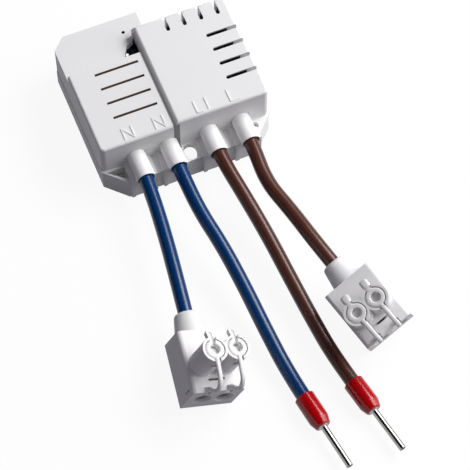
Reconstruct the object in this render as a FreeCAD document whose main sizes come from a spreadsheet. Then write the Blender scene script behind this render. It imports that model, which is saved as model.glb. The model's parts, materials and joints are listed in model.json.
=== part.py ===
import FreeCAD, Part
import math
import os
import Sketcher
from FreeCAD import Placement, Rotation, Vector
from types import SimpleNamespace

# An in-wall wireless relay module with four short leads.
# X runs along the width, Y from the leads side to the back, Z up.
# The origin is under the middle of the housing, on the surface it lies on.

SIZES = {
    "body_width": 40.0,
    "body_depth": 37.4,
    "sleeve_out": 1.9,
    "wall": 1.6,
    "floor": 1.5,
    "rim_height": 4.6,
    "ledge_height": 6.4,
    "ledge_depth": 4.62,
    "ledge_plate": 1.2,
    "back_corner": 3.0,
    "cover_wall": 1.5,
    "cover_top": 1.5,
    "cover_inset": 0.12,
    "low_back_height": 6.0,
    "right_block_height": 16.3,
    "left_block_drop": 1.0,
    "back_level_drop": 3.3,
    "step_place": -2.0,
    "step_slant": 1.0,
    "left_block_back": 7.76,
    "right_block_back": 13.96,
    "back_level_end": 0.7,
    "edge_round": 0.6,
    "corner_round": 1.2,
    "saddle_width": 6.2,
    "saddle_proud": 0.25,
    "saddle_drop": 1.8,
    "rib": 0.9,
    "rib_proud": 0.2,
    "corner_hole_depth": 3.0,
    "corner_hole_rim": 0.8,
    "corner_bore": 0.75,
    "corner_bore_inset": 1.1,
    "middle_hole_width": 2.9,
    "middle_hole_length": 3.9,
    "middle_hole_place": 0.1,
    "tunnel_run": 3.05,
    "tunnel_reach": 2.9,
    "tunnel_wall": 1.0,
    "sleeve_radius": 2.2,
    "sleeve_bore": 1.75,
    "sleeve_height": 8.9,
    "sleeve_flange_radius": 2.9,
    "sleeve_flange": 0.8,
    "fit_gap": 0.05,
    "lead_radius": 1.65,
    "lead_place_one": -11.9,
    "lead_place_two": -4.2,
    "lead_place_three": 5.3,
    "lead_place_four": 13.0,
    "strand_radius": 0.7,
    "strand_reach": 1.7,
    "solder_radius": 1.26,
    "louvre_width": 10.3,
    "louvre_left": -14.2,
    "louvre_gap": 0.6,
    "louvre_first": -6.07,
    "louvre_pitch": 3.94,
    "slot_gap": 0.9,
    "side_slot_reach": 7.15,
    "side_slot_depth": 4.0,
    "back_slot_start": 10.46,
    "back_slot_last": 2.8,
    "back_slot_pitch": 4.0,
    "side_slot_first": -6.29,
    "side_slot_pitch": 3.95,
    "pinhole_radius": 0.38,
    "pinhole_x": -3.84,
    "pinhole_y": 15.52,
    "guide_x": -4.9,
    "guide_y": 10.16,
    "guide_radius": 0.3,
    "board_lift": 2.9,
    "board_thick": 1.6,
    "board_gap": 0.4,
    "post_radius": 1.5,
    "seat_gap": 0.05,
    "radio_room": 3.6,
    "radio_thick": 1.0,
    "radio_inset": 2.2,
    "radio_right": -1.8,
    "radio_front": 9.2,
    "radio_back": 17.2,
    "pin_side": 0.6,
    "pin_pitch": 2.54,
    "led_side": 1.2,
    "led_height": 0.7,
    "guide_rise": 3.4,
    "key_side": 3.0,
    "key_height": 1.6,
    "plunger_radius": 0.6,
    "plunger_rise": 0.9,
    "plunger_travel": 0.25,
    "antenna_radius": 0.4,
    "antenna_reach": 22.0,
    "antenna_drop": 1.4,
    "relay_inset": 3.0,
    "relay_width": 9.6,
    "relay_front_gap": 3.63,
    "relay_back_gap": 1.06,
    "headroom": 1.25,
    "relay_base_height": 1.2,
    "relay_wall": 0.6,
    "coil_floor_gap": 0.1,
    "coil_yoke_gap": 0.3,
    "coil_length": 10.2,
    "flange_step": 0.4,
    "flange": 0.7,
    "core_radius": 1.0,
    "yoke_thick": 0.9,
    "yoke_width": 6.0,
    "armature_gap": 0.25,
    "armature_thick": 0.8,
    "armature_foot": 1.75,
    "leaf_thick": 0.2,
    "leaf_width": 3.0,
    "contact_radius": 0.6,
    "contact_thick": 0.35,
    "contact_gap": 0.32,
    "contact_height": 0.9,
    "filter_length": 9.5,
    "filter_depth": 4.4,
    "filter_inset": 8.8,
    "filter_y": -6.2,
    "varistor_radius": 3.2,
    "varistor_thick": 2.4,
    "varistor_gap": 0.25,
    "varistor_y": -6.2,
    "fuse_radius": 1.4,
    "fuse_length": 6.0,
    "fuse_wire": 0.3,
    "fuse_y": -2.5,
    "choke_inset": 9.0,
    "choke_y": 2.5,
    "choke_length": 9.0,
    "choke_depth": 6.6,
    "choke_drop": 0.4,
    "can_radius": 2.6,
    "can_drop": 0.2,
    "can_x": 0.8,
    "can_y": 3.2,
    "block_width": 11.9,
    "block_length": 14.4,
    "block_front_height": 8.5,
    "block_back_height": 7.8,
    "block_edge": 0.9,
    "pole_offset": 2.55,
    "tower_place": 6.35,
    "tower_radius": 2.8,
    "tower_height": 16.7,
    "tower_wall": 0.55,
    "tower_slot": 1.5,
    "button_gap": 0.25,
    "button_hole": 0.98,
    "button_thick": 1.5,
    "button_travel": 1.2,
    "strap_width": 1.0,
    "strap_thick": 0.9,
    "strap_reach": 8.45,
    "strap_bend_height": 14.5,
    "strap_foot": 0.45,
    "strap_foot_height": 1.2,
    "strap_foot_seat": 0.2,
    "tab_reach": 4.6,
    "tab_drop": 1.3,
    "tab_width": 1.3,
    "tab_thick": 1.0,
    "stem_radius": 0.8,
    "stem_lift": 0.15,
    "entry_radius": 1.4,
    "entry_flare": 2.2,
    "entry_height": 4.3,
    "entry_depth": 0.8,
    "chamber_front": 1.6,
    "chamber_back": 11.0,
    "chamber_low": 1.1,
    "chamber_top": 7.1,
    "chamber_width": 4.5,
    "top_slot_width": 3.8,
    "top_slot_gap": 0.5,
    "top_slot_place": 2.5,
    "side_slot_height": 2.4,
    "left_neck_offset": -1.3,
    "right_neck_offset": 0.0,
    "neck_length": 5.1,
    "neck_base_radius": 3.55,
    "neck_end_radius": 2.65,
    "neck_chamfer": 0.5,
    "neck_height": 4.15,
    "lead_insert": 3.0,
    "spring_root_y": 2.0,
    "spring_root_z": 1.7,
    "spring_end_y": 8.3,
    "spring_end_z": 5.8,
    "spring_thick": 0.3,
    "spring_width": 3.2,
    "bar_front": 7.6,
    "bar_back": 10.2,
    "bar_low": 6.2,
    "bar_high": 6.9,
    "left_block_x": -18.92,
    "left_block_y": -71.97,
    "left_block_z": 2.035,
    "left_block_yaw": -6.24,
    "left_block_pitch": 19.95,
    "left_block_roll": 6.12,
    "right_block_x": 24.49,
    "right_block_y": -71.52,
    "right_block_z": 2.065,
    "right_block_yaw": 13.35,
    "right_block_pitch": -20.26,
    "right_block_roll": 11.45,
    "collar_radius": 2.25,
    "collar_tip_radius": 1.75,
    "collar_bore": 1.7,
    "collar_length": 7.8,
    "collar_tip": 1.2,
    "collar_insert": 2.9,
    "straight_run": 1.2,
    "pin_radius": 0.75,
    "pin_length": 10.4,
    "pin_inside": 2.0,
    "pin_inside_radius": 1.15,
    "pin_flare": 0.2,
    "ferrule_height": 2.4,
    "left_ferrule_x": 1.03,
    "left_ferrule_y": -78.14,
    "left_ferrule_turn": 8.64,
    "right_ferrule_x": 11.99,
    "right_ferrule_y": -78.91,
    "right_ferrule_turn": 11.36,
}

doc = FreeCAD.newDocument("wireless_power_switch")
sheet = doc.addObject("Spreadsheet::Sheet", "Sizes")


class Size:
    """A length, as a formula of the sheet's cells and as its present value."""

    def __init__(self, text, value):
        self.text = text
        self.value = value

    def __float__(self):
        return float(self.value)

    def __neg__(self):
        return Size(f"(-{self.text})", -self.value)

    def __add__(self, other):
        other = as_size(other)
        return Size(f"({self.text} + {other.text})", self.value + other.value)

    def __radd__(self, other):
        return as_size(other) + self

    def __sub__(self, other):
        other = as_size(other)
        return Size(f"({self.text} - {other.text})", self.value - other.value)

    def __rsub__(self, other):
        return as_size(other) - self

    def __mul__(self, other):
        other = as_size(other)
        return Size(f"({self.text} * {other.text})", self.value * other.value)

    def __rmul__(self, other):
        return as_size(other) * self

    def __truediv__(self, other):
        other = as_size(other)
        return Size(f"({self.text} / {other.text})", self.value / other.value)


def as_size(number):
    """Give a plain number the form of a size."""
    if isinstance(number, Size):
        return number
    return Size(f"({number})", float(number))


def fill_sheet():
    """Write the sizes into the sheet and hand back one value per alias."""
    for row, (name, number) in enumerate(SIZES.items(), start=1):
        sheet.set(f"A{row}", name.replace("_", " "))
        sheet.set(f"B{row}", str(number))
        sheet.setAlias(f"B{row}", name)
    doc.recompute()
    return SimpleNamespace(**{name: Size(f"Sizes.{name}", sheet.get(name)) for name in SIZES})


s = fill_sheet()
NODES = {}

# How far a cutting tool runs past the face that it opens, and the share of a run that a bend takes
OVERSHOOT = 1.0
BEND_SHARE = 0.45

# Places that several pieces share
FRONT = -(s.body_depth - s.sleeve_out) / 2
BACK = (s.body_depth + s.sleeve_out) / 2
SIDE = s.body_width / 2
MOUTH = FRONT - s.sleeve_out
WALL_FACE = FRONT + s.ledge_depth
WALL_INSIDE = WALL_FACE + s.cover_wall
CORNER = s.ledge_depth
LEADS = (s.lead_place_one, s.lead_place_two, s.lead_place_three, s.lead_place_four)
BOARD_TOP = s.board_lift + s.board_thick
BOARD_SEAT = BOARD_TOP + s.seat_gap
LEFT_TOP = s.right_block_height - s.left_block_drop
BACK_LEVEL = s.right_block_height - s.back_level_drop
RADIO_TOP = BACK_LEVEL - s.cover_top - s.radio_room
RADIO_LOW = RADIO_TOP - s.radio_thick
RADIO_LEFT = -SIDE + s.radio_inset
RELAY_LEFT = SIDE - s.relay_inset - s.relay_width
RELAY_FRONT = WALL_INSIDE + s.relay_front_gap
RELAY_BACK = s.right_block_back - s.cover_wall - s.relay_back_gap
RELAY_HEIGHT = s.right_block_height - s.cover_top - BOARD_SEAT - s.headroom
SUPPLY_HEIGHT = LEFT_TOP - s.cover_top - BOARD_SEAT - s.headroom
POLES = (-s.pole_offset, s.pole_offset)
NECK_OFFSETS = {"left": s.left_neck_offset, "right": s.right_neck_offset}
AXES = {"x": Vector(1, 0, 0), "y": Vector(0, 1, 0), "z": Vector(0, 0, 1), "-y": Vector(0, -1, 0)}
PLANES = {"xy": Rotation(), "yz": Rotation(Vector(1, 1, 1), 120), "xz": Rotation(Vector(1, 0, 0), 90)}


def bind(piece, prop, size):
    """Tie one property of an object to a formula of the sheet."""
    piece.setExpression(prop, as_size(size).text)


def set_base(piece, place):
    """Tie an object's position to the sheet."""
    for axis, size in zip("xyz", place):
        bind(piece, f"Placement.Base.{axis}", size)


def box(name, x, y, z):
    """Make a box from its low and high sides along each axis."""
    piece = doc.addObject("Part::Box", name)
    for prop, (low, high) in zip(("Length", "Width", "Height"), (x, y, z)):
        bind(piece, prop, high - low)
    set_base(piece, (x[0], y[0], z[0]))
    return piece


def rod(name, start, axis, length, radius):
    """Make a cylinder that runs from a point along an axis."""
    piece = doc.addObject("Part::Cylinder", name)
    bind(piece, "Radius", radius)
    bind(piece, "Height", length)
    piece.Placement = Placement(Vector(), Rotation(AXES["z"], AXES[axis]))
    set_base(piece, start)
    return piece


def cone(name, start, axis, length, radius, end_radius):
    """Make a cone that runs from a point along an axis."""
    piece = doc.addObject("Part::Cone", name)
    bind(piece, "Radius1", radius)
    bind(piece, "Radius2", end_radius)
    bind(piece, "Height", length)
    piece.Placement = Placement(Vector(), Rotation(AXES["z"], AXES[axis]))
    set_base(piece, start)
    return piece


def prism(name, points, plane, low, high):
    """Sketch an outline through corner points and pull it from low to high along the plane's normal."""
    sketch = doc.addObject("Sketcher::SketchObject", f"{name}_sketch")
    corners = [Vector(float(u), float(v), 0) for u, v in points]
    for start, end in zip(corners, corners[1:] + corners[:1]):
        sketch.addGeometry(Part.LineSegment(start, end), False)
    for index, corner in enumerate(points):
        following = (index + 1) % len(points)
        sketch.addConstraint(Sketcher.Constraint("Coincident", index, 2, following, 1))
        for kind, size in zip(("DistanceX", "DistanceY"), corner):
            number = sketch.addConstraint(Sketcher.Constraint(kind, -1, 1, index, 1, float(size)))
            bind(sketch, f"Constraints[{number}]", size)
    sketch.Placement = Placement(Vector(), PLANES[plane])
    base = {"xy": (0, 0, low), "yz": (low, 0, 0), "xz": (0, -1 * low, 0)}[plane]
    set_base(sketch, base)
    solid = doc.addObject("Part::Extrusion", name)
    solid.Base = sketch
    solid.DirMode = "Normal"
    solid.Solid = True
    bind(solid, "LengthFwd", high - low)
    return solid


def join(name, pieces):
    """Fuse pieces into one solid."""
    fused = doc.addObject("Part::MultiFuse", name)
    fused.Shapes = pieces
    fused.Refine = True
    return fused


def cut(name, base, tools):
    """Take the tools away from the base."""
    cutter = tools[0] if len(tools) == 1 else join(f"{name}_tools", tools)
    result = doc.addObject("Part::Cut", name)
    result.Base = base
    result.Tool = cutter
    result.Refine = True
    return result


def round_edges(name, base, radius, chosen):
    """Round the edges of a piece that a test on their ends picks out."""
    doc.recompute()
    result = doc.addObject("Part::Fillet", name)
    result.Base = base
    size = float(radius)
    result.Edges = [
        (number, size, size)
        for number, edge in enumerate(base.Shape.Edges, start=1)
        if len(edge.Vertexes) == 2 and chosen(edge.Vertexes[0].Point, edge.Vertexes[1].Point)
    ]
    return result


def node(name, piece):
    """Keep a finished piece under its own name."""
    piece.Label = name
    NODES[name] = piece
    return piece


def near(value, size):
    """Tell whether a coordinate lies at a size."""
    return abs(value - float(size)) < 0.01


def footprint(inset):
    """The corners of the housing's outline seen from above, drawn in by an inset."""
    slant = inset * (math.sqrt(2) - 1)
    return [
        (-SIDE + inset, FRONT + CORNER + slant), (-SIDE + CORNER + slant, FRONT + inset),
        (SIDE - CORNER - slant, FRONT + inset), (SIDE - inset, FRONT + CORNER + slant),
        (SIDE - inset, BACK - s.back_corner - slant), (SIDE - s.back_corner - slant, BACK - inset),
        (-SIDE + s.back_corner + slant, BACK - inset), (-SIDE + inset, BACK - s.back_corner - slant),
    ]


def behind(front, inset):
    """The part of the outline that lies behind a line across it."""
    back = footprint(inset)[4:]
    return [(-SIDE + inset, front), (SIDE - inset, front)] + back


# Housing base

def ledge_corner_recess():
    """A three-cornered pocket in the left corner of the ledge."""
    rim = s.corner_hole_rim
    inner = -SIDE + CORNER + rim / 2
    back = WALL_FACE - rim / 2
    corners = [(-SIDE + rim, back), (inner, back), (inner, FRONT + rim)]
    return prism("corner_pocket", corners, "xy",
                 s.ledge_height - s.corner_hole_depth, s.ledge_height + OVERSHOOT)


def ledge_corner_bore(side):
    """The fixing hole through a corner of the ledge."""
    tag = "left" if side < 0 else "right"
    across = SIDE - CORNER - s.corner_hole_rim / 2 + s.corner_bore_inset
    back = WALL_FACE - s.corner_hole_rim / 2 - s.corner_bore_inset
    return rod(f"corner_bore_{tag}", (side * across, back, -OVERSHOOT), "z",
               s.ledge_height + OVERSHOOT * 2, s.corner_bore)


def saddle(number, place):
    """The block under one sleeve, with a rib on each side of the sleeve."""
    half = s.saddle_width / 2
    proud = FRONT - s.saddle_proud
    top = s.sleeve_height - s.saddle_drop
    block = box(f"saddle_block_{number}", (place - half, place + half), (proud, WALL_FACE), (0, top))
    ribs = [
        box(f"saddle_rib_{number}_{index}", (edge, edge + s.rib), (proud - s.rib_proud, WALL_FACE), (0, top))
        for index, edge in enumerate((place - half, place + half - s.rib))
    ]
    return [block] + ribs


def middle_hole():
    """The rounded hole through the middle of the ledge."""
    radius = s.middle_hole_width / 2
    centre = WALL_FACE - s.ledge_depth / 2 - s.middle_hole_place
    reach = s.middle_hole_length / 2 - radius
    ends = [
        rod(f"middle_hole_{index}", (s.middle_hole_place, centre + way * reach, -OVERSHOOT), "z",
            s.ledge_height + OVERSHOOT * 2, radius)
        for index, way in enumerate((-1, 1))
    ]
    slot = box("middle_hole_slot", (s.middle_hole_place - radius, s.middle_hole_place + radius),
               (centre - reach, centre + reach), (as_size(-OVERSHOOT), s.ledge_height + OVERSHOOT))
    return ends + [slot]


def middle_tunnel(name, grow, low, high):
    """The slanting room under the middle hole, through which daylight shows, grown by a wall."""
    back = WALL_FACE - s.ledge_depth / 2 - s.middle_hole_place + s.middle_hole_length / 2 + grow
    slope = s.tunnel_run / (s.ledge_height - s.ledge_plate)
    height = s.ledge_height - s.ledge_plate
    front = WALL_FACE - s.corner_hole_rim
    profile = [(front, low), (back + slope * (height - low), low), (back + slope * (height - high), high),
               (front, high)]
    left = s.middle_hole_place - s.middle_hole_width / 2 - grow
    return prism(name, profile, "yz", left, s.tunnel_reach + grow)


def base_posts():
    """The posts that carry the main board."""
    inset = s.wall + s.post_radius + s.back_corner / 2
    places = [(-SIDE + inset, WALL_INSIDE + inset), (SIDE - inset, WALL_INSIDE + inset),
              (-SIDE + inset, BACK - inset), (SIDE - inset, BACK - inset)]
    return [
        rod(f"board_post_{index}", (x, y, s.floor / 2), "z", s.board_lift - s.seat_gap - s.floor / 2,
            s.post_radius)
        for index, (x, y) in enumerate(places)
    ]


def base_shell():
    """The lower shell: a tray, and the ledge that carries the sleeves."""
    tray = prism("tray", footprint(as_size(0)), "xy", as_size(0), s.rim_height)
    ledge_outline = footprint(as_size(0))[:4]
    shelf_back = WALL_INSIDE
    shelf = [(-SIDE, shelf_back)] + ledge_outline + [(SIDE, shelf_back)]
    ledge = prism("ledge", shelf, "xy", as_size(0), s.ledge_height)
    hollow = prism("tray_hollow", behind(shelf_back, s.wall), "xy", s.floor, s.ledge_height + OVERSHOOT)
    under_side = SIDE - CORNER - s.wall
    under = box("ledge_hollow", (-under_side, under_side), (FRONT + s.wall, WALL_FACE),
                (as_size(-OVERSHOOT), s.ledge_height - s.ledge_plate))
    saddles = [piece for number, place in enumerate(LEADS) for piece in saddle(number, place)]
    channels = [
        rod(f"saddle_channel_{number}", (place, MOUTH - OVERSHOOT, s.sleeve_height), "y",
            WALL_INSIDE - MOUTH + OVERSHOOT * 2, s.sleeve_radius + s.fit_gap)
        for number, place in enumerate(LEADS)
    ]
    below = s.board_lift - s.seat_gap * 2
    shroud = middle_tunnel("tunnel_shroud", s.tunnel_wall, as_size(0), below)
    tunnel = middle_tunnel("tunnel", as_size(0), as_size(-OVERSHOOT), s.ledge_height - s.ledge_plate)
    holes = [ledge_corner_recess(), ledge_corner_bore(-1), ledge_corner_bore(1), tunnel] + middle_hole()
    shell = cut("base_tray", join("base_outer", [tray, ledge]), [hollow, under])
    shell = join("base_with_saddles", [shell, shroud] + saddles + base_posts())
    node("base_shell", cut("base_shell", shell, channels + holes))


# Cover

def cover_blocks(inset, drop, low):
    """The stepped volume of the cover, drawn in by an inset and lowered by a drop."""
    tag = "inside" if float(inset) > float(s.cover_wall) else "outside"
    grow = inset - s.cover_inset
    front, back = WALL_FACE + grow, BACK - inset
    left, right = -SIDE + inset, SIDE - inset
    block_back, tall_back = s.left_block_back - grow, s.right_block_back - grow
    step_low, step_high = s.step_place - s.step_slant / 2, s.step_place + s.step_slant / 2
    left_top, right_top = LEFT_TOP - drop, s.right_block_height - drop
    block = prism(f"left_block_{tag}",
                  [(left, low), (step_low, low), (step_low, left_top), (left, left_top)],
                  "xz", -block_back, -front)
    foot, head = step_low + grow * 2, step_high + grow * 2
    tall = prism(f"right_block_{tag}",
                 [(foot, low), (right, low), (right, right_top), (head, right_top), (foot, left_top)],
                 "xz", -tall_back, -front)
    bridge = box(f"bridge_{tag}", (step_low - s.cover_wall, foot + s.fit_gap), (front, block_back),
                 (low, left_top))
    corner = s.back_corner + inset * (math.sqrt(2) - 1)
    level_front = block_back - s.cover_wall
    level_side, level_end = s.step_place + grow, s.back_level_end - grow
    level = prism(f"back_level_{tag}", [
        (left, level_front), (level_side, level_front), (level_side, tall_back), (level_end, tall_back),
        (level_end, back), (-SIDE + corner, back), (left, BACK - corner),
    ], "xy", low, BACK_LEVEL - drop)
    return [block, tall, bridge, level]


def cover_body():
    """The cover's shell before its slots."""
    outside = cover_blocks(s.cover_inset, as_size(0), s.rim_height)
    inside = cover_blocks(s.cover_inset + s.cover_wall, s.cover_top, s.rim_height - OVERSHOOT)
    left, front = s.back_level_end - s.cover_wall, s.right_block_back - s.cover_wall
    right, back = SIDE - s.cover_inset, BACK - s.cover_inset
    corner = s.back_corner + s.cover_inset * (math.sqrt(2) - 1)
    low = prism("low_back", [
        (left, front), (right, front), (right, BACK - corner), (SIDE - corner, back), (left, back),
    ], "xy", s.rim_height, s.low_back_height)
    outer = join("cover_outer", outside + [low])
    outer = round_edges("cover_corners_rounded", outer, s.corner_round, is_cover_corner)
    outer = round_edges("cover_rounded", outer, s.edge_round, is_cover_edge)
    foot = box("ledge_clearance", (-SIDE - OVERSHOOT, SIDE + OVERSHOOT), (FRONT, WALL_INSIDE + s.fit_gap),
               (as_size(0), s.ledge_height))
    return outer, inside + [foot]


def is_cover_corner(a, b):
    """Pick the upright front corners."""
    upright = abs(a.z - b.z) > float(s.rim_height) and near(a.y, WALL_FACE) and near(b.y, WALL_FACE)
    return upright and abs(a.x) > float(SIDE - CORNER)


def is_cover_edge(a, b):
    """Pick the top edges of the two blocks."""
    right_top = near(a.z, s.right_block_height) and near(b.z, s.right_block_height)
    left_top = near(a.z, LEFT_TOP) and near(b.z, LEFT_TOP)
    flush = near(a.y, b.y) or near(a.x, b.x)
    outer_left = near(a.x, -SIDE + s.cover_inset) and near(b.x, -SIDE + s.cover_inset)
    return (right_top and flush) or (left_top and outer_left)


def slot(name, start, along, length, top, depth):
    """A slot from above whose near end is round and whose other end runs out of the cover."""
    half = s.slot_gap / 2
    x, y = start
    span = (top - depth, top + OVERSHOOT)
    if along == "x":
        run = box(name, (x, x + length), (y - half, y + half), span)
    else:
        run = box(name, (x - half, x + half), (y, y + length), span)
    return [run, rod(f"{name}_end", (x, y, top - depth), "z", depth + OVERSHOOT, half)]


def cover_slots():
    """The louvres of the left block and the slots of the right block."""
    tools = []
    half = s.louvre_gap / 2
    top = s.right_block_height
    for index in range(4):
        y = s.louvre_first + s.louvre_pitch * index
        tools.append(box(f"louvre_{index}", (s.louvre_left, s.louvre_left + s.louvre_width),
                         (y - half, y + half), (LEFT_TOP - s.cover_top - OVERSHOOT, LEFT_TOP + OVERSHOOT)))
        y = s.side_slot_first + s.side_slot_pitch * index
        tools += slot(f"side_slot_{index}", (SIDE - s.side_slot_reach, y), "x",
                      s.side_slot_reach + OVERSHOOT, top, s.side_slot_depth)
        x = SIDE - s.back_slot_last - s.back_slot_pitch * index
        tools += slot(f"back_slot_{index}", (x, s.back_slot_start), "y",
                      s.right_block_back - s.back_slot_start + OVERSHOOT, top, s.side_slot_depth)
    return tools


def service_recess():
    """The opening in the back level, beside the right block, and the pinhole of the reset switch."""
    low = BACK_LEVEL - s.cover_top - OVERSHOOT
    step, front = s.step_place, s.left_block_back
    opening = prism("service_opening", [
        (step + 0.5, front + 7.4), (step - 0.1, front + 5.1), (step - 2.4, front + 4.0),
        (step - 3.7, front + 1.9), (step - 4.0, front + 0.1), (step - 0.5, front + 0.1),
    ], "xy", low, BACK_LEVEL + OVERSHOOT)
    pinhole = rod("pinhole", (s.pinhole_x, s.pinhole_y, low), "z", s.cover_top + OVERSHOOT * 2,
                  s.pinhole_radius)
    return [opening, pinhole]


def top_cover():
    """The upper shell, with a hole for each sleeve."""
    outer, inside = cover_body()
    holes = [
        rod(f"sleeve_hole_{number}", (place, WALL_FACE - OVERSHOOT, s.sleeve_height), "y",
            s.cover_wall + OVERSHOOT * 2, s.sleeve_radius + s.fit_gap)
        for number, place in enumerate(LEADS)
    ]
    node("top_cover", cut("top_cover", outer, inside + cover_slots() + service_recess() + holes))


# Sleeves and leads

def cable_sleeves():
    """A smooth tube round each lead, with a flange behind the front wall."""
    for number, place in enumerate(LEADS, start=1):
        start = WALL_INSIDE + s.sleeve_flange
        tube = rod(f"sleeve_tube_{number}", (place, start, s.sleeve_height), "-y", start - MOUTH,
                   s.sleeve_radius)
        flange = rod(f"sleeve_flange_{number}", (place, start, s.sleeve_height), "-y", s.sleeve_flange,
                     s.sleeve_flange_radius)
        bore = rod(f"sleeve_bore_{number}", (place, start + OVERSHOOT, s.sleeve_height), "-y",
                   start - MOUTH + OVERSHOOT * 2, s.sleeve_bore)
        node(f"cable_sleeve_{number}",
             cut(f"cable_sleeve_{number}", join(f"sleeve_body_{number}", [tube, flange]), [bore]))


def block_pose(side):
    """Where a terminal block lies: its front bottom middle, and its turns."""
    place = [getattr(s, f"{side}_block_{axis}") for axis in "xyz"]
    turns = [float(getattr(s, f"{side}_block_{turn}")) for turn in ("yaw", "pitch", "roll")]
    return place, Placement(Vector(*[float(size) for size in place]), Rotation(*turns))


def ferrule_pose(side):
    """Where a ferrule lies: the back of its collar, with its own Y axis along the pin."""
    place = [getattr(s, f"{side}_ferrule_x"), getattr(s, f"{side}_ferrule_y"), s.ferrule_height]
    turn = float(getattr(s, f"{side}_ferrule_turn"))
    return place, Placement(Vector(*[float(size) for size in place]), Rotation(AXES["z"], 180 + turn))


def lead_starts(place):
    """The two points that hold a lead straight through its sleeve."""
    ends = (WALL_INSIDE, MOUTH - s.straight_run)
    return [Vector(float(place), float(y), float(s.sleeve_height)) for y in ends]


def neck_ends(side, run):
    """The last two points of a lead that goes into a block's neck."""
    pose = block_pose(side)[1]
    neck = Vector(float(NECK_OFFSETS[side]), float(s.block_length + s.neck_length), float(s.neck_height))
    before = neck + Vector(0, run, 0)
    inside = neck - Vector(0, float(s.lead_insert), 0)
    return [pose.multVec(before), pose.multVec(inside)]


def ferrule_ends(side, run):
    """The last two points of a lead that goes into a ferrule's collar."""
    pose = ferrule_pose(side)[1]
    return [pose.multVec(Vector(0, -run, 0)), pose.multVec(Vector(0, float(s.collar_insert), 0))]


def blue_outer_route():
    return lead_starts(s.lead_place_one) + [Vector(-13.1, -33.4, 8.85)] + neck_ends("left", 7.0)


def blue_inner_route():
    middle = [Vector(-3.9, -31.0, 8.15), Vector(-2.3, -40.2, 6.95), Vector(-1.35, -50.5, 5.5),
              Vector(-0.75, -61.5, 3.9)]
    return lead_starts(s.lead_place_two) + middle + ferrule_ends("left", 6.0)


def brown_inner_route():
    middle = [Vector(6.6, -30.6, 7.9), Vector(7.9, -41.0, 6.4), Vector(8.75, -52.0, 4.9),
              Vector(9.6, -62.5, 3.6)]
    return lead_starts(s.lead_place_three) + middle + ferrule_ends("right", 6.5)


def brown_outer_route():
    middle = [Vector(12.2, -30.2, 8.9), Vector(14.4, -39.3, 9.35)]
    return lead_starts(s.lead_place_four) + middle + neck_ends("right", 5.0)


def lead_path(points):
    """Straight runs joined by arcs as large as the runs allow."""
    edges = []
    start = points[0]
    for before, corner, after in zip(points, points[1:], points[2:]):
        back = (before - corner).normalize()
        onward = (after - corner).normalize()
        reach = BEND_SHARE * min((before - corner).Length, (after - corner).Length)
        half_turn = (math.pi - back.getAngle(onward)) / 2
        enter = corner + back * reach
        leave = corner + onward * reach
        bisector = (back + onward).normalize()
        centre = corner + bisector * (reach / math.sin(half_turn))
        middle = centre - bisector * (reach / math.tan(half_turn))
        edges.append(Part.LineSegment(start, enter).toShape())
        edges.append(Part.Arc(enter, middle, leave).toShape())
        start = leave
    edges.append(Part.LineSegment(start, points[-1]).toShape())
    return Part.Wire(edges)


def lead(name, points):
    """A round lead along its path."""
    path = lead_path(points)
    radius = float(s.lead_radius)
    ring = Part.Wire(Part.makeCircle(radius, points[0], points[1] - points[0]))
    piece = doc.addObject("Part::Feature", name)
    piece.Shape = path.makePipeShell([ring], True, False)
    expected = math.pi * radius ** 2 * path.Length
    print(name, "length", round(path.Length, 1), "volume ratio", round(piece.Shape.Volume / expected, 4))
    node(name, piece)


def leads():
    """Two blue and two brown leads."""
    lead("blue_lead_outer", blue_outer_route())
    lead("blue_lead_inner", blue_inner_route())
    lead("brown_lead_inner", brown_inner_route())
    lead("brown_lead_outer", brown_outer_route())


def lead_conductors():
    """The bare ends of the leads, bent down to the main board inside the housing."""
    pieces = []
    for number, place in enumerate(LEADS):
        turn = WALL_INSIDE + s.strand_reach
        pieces.append(join(f"lead_conductor_{number}", [
            rod(f"conductor_run_{number}", (place, WALL_INSIDE, s.sleeve_height), "y",
                s.strand_reach, s.strand_radius),
            rod(f"conductor_drop_{number}", (place, turn, BOARD_SEAT), "z",
                s.sleeve_height - BOARD_SEAT, s.strand_radius),
            ball(f"conductor_turn_{number}", (place, turn, s.sleeve_height), s.strand_radius),
            cone(f"conductor_joint_{number}", (place, turn, BOARD_SEAT), "z", s.strand_radius,
                 s.solder_radius, s.strand_radius),
        ]))
    group = doc.addObject("Part::Compound", "lead_conductors")
    group.Links = pieces
    node("lead_conductors", group)


def ball(name, centre, radius):
    """Make a sphere."""
    piece = doc.addObject("Part::Sphere", name)
    bind(piece, "Radius", radius)
    set_base(piece, centre)
    return piece


def ferrules():
    """The insulated end sleeves on the two inner leads."""
    for side in ("left", "right"):
        place, pose = ferrule_pose(side)
        straight = s.collar_length - s.collar_tip
        barrel = rod(f"collar_barrel_{side}", (0, 0, 0), "y", straight, s.collar_radius)
        tip = cone(f"collar_tip_{side}", (0, straight, 0), "y", s.collar_tip, s.collar_radius,
                   s.collar_tip_radius)
        mouth = rod(f"collar_mouth_{side}", (0, -OVERSHOOT, 0), "y",
                    s.collar_insert + OVERSHOOT + s.fit_gap, s.collar_bore)
        hole = rod(f"collar_hole_{side}", (0, 0, 0), "y", s.collar_length + OVERSHOOT,
                   s.pin_inside_radius + s.fit_gap / 2)
        collar = cut(f"ferrule_collar_{side}", join(f"collar_body_{side}", [barrel, tip]), [mouth, hole])
        pin = join(f"ferrule_pin_{side}", [
            rod(f"pin_inside_{side}", (0, s.collar_length - s.pin_inside, 0), "y", s.pin_inside,
                s.pin_inside_radius),
            cone(f"pin_flare_{side}", (0, s.collar_length, 0), "y", s.pin_flare, s.pin_inside_radius,
                 s.pin_radius),
            rod(f"pin_tube_{side}", (0, s.collar_length + s.pin_flare, 0), "y",
                s.pin_length - s.pin_flare, s.pin_radius),
        ])
        for name, piece in ((f"ferrule_collar_{side}", collar), (f"ferrule_pin_{side}", pin)):
            piece.Placement = pose
            set_base(piece, place)
            node(name, piece)


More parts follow.
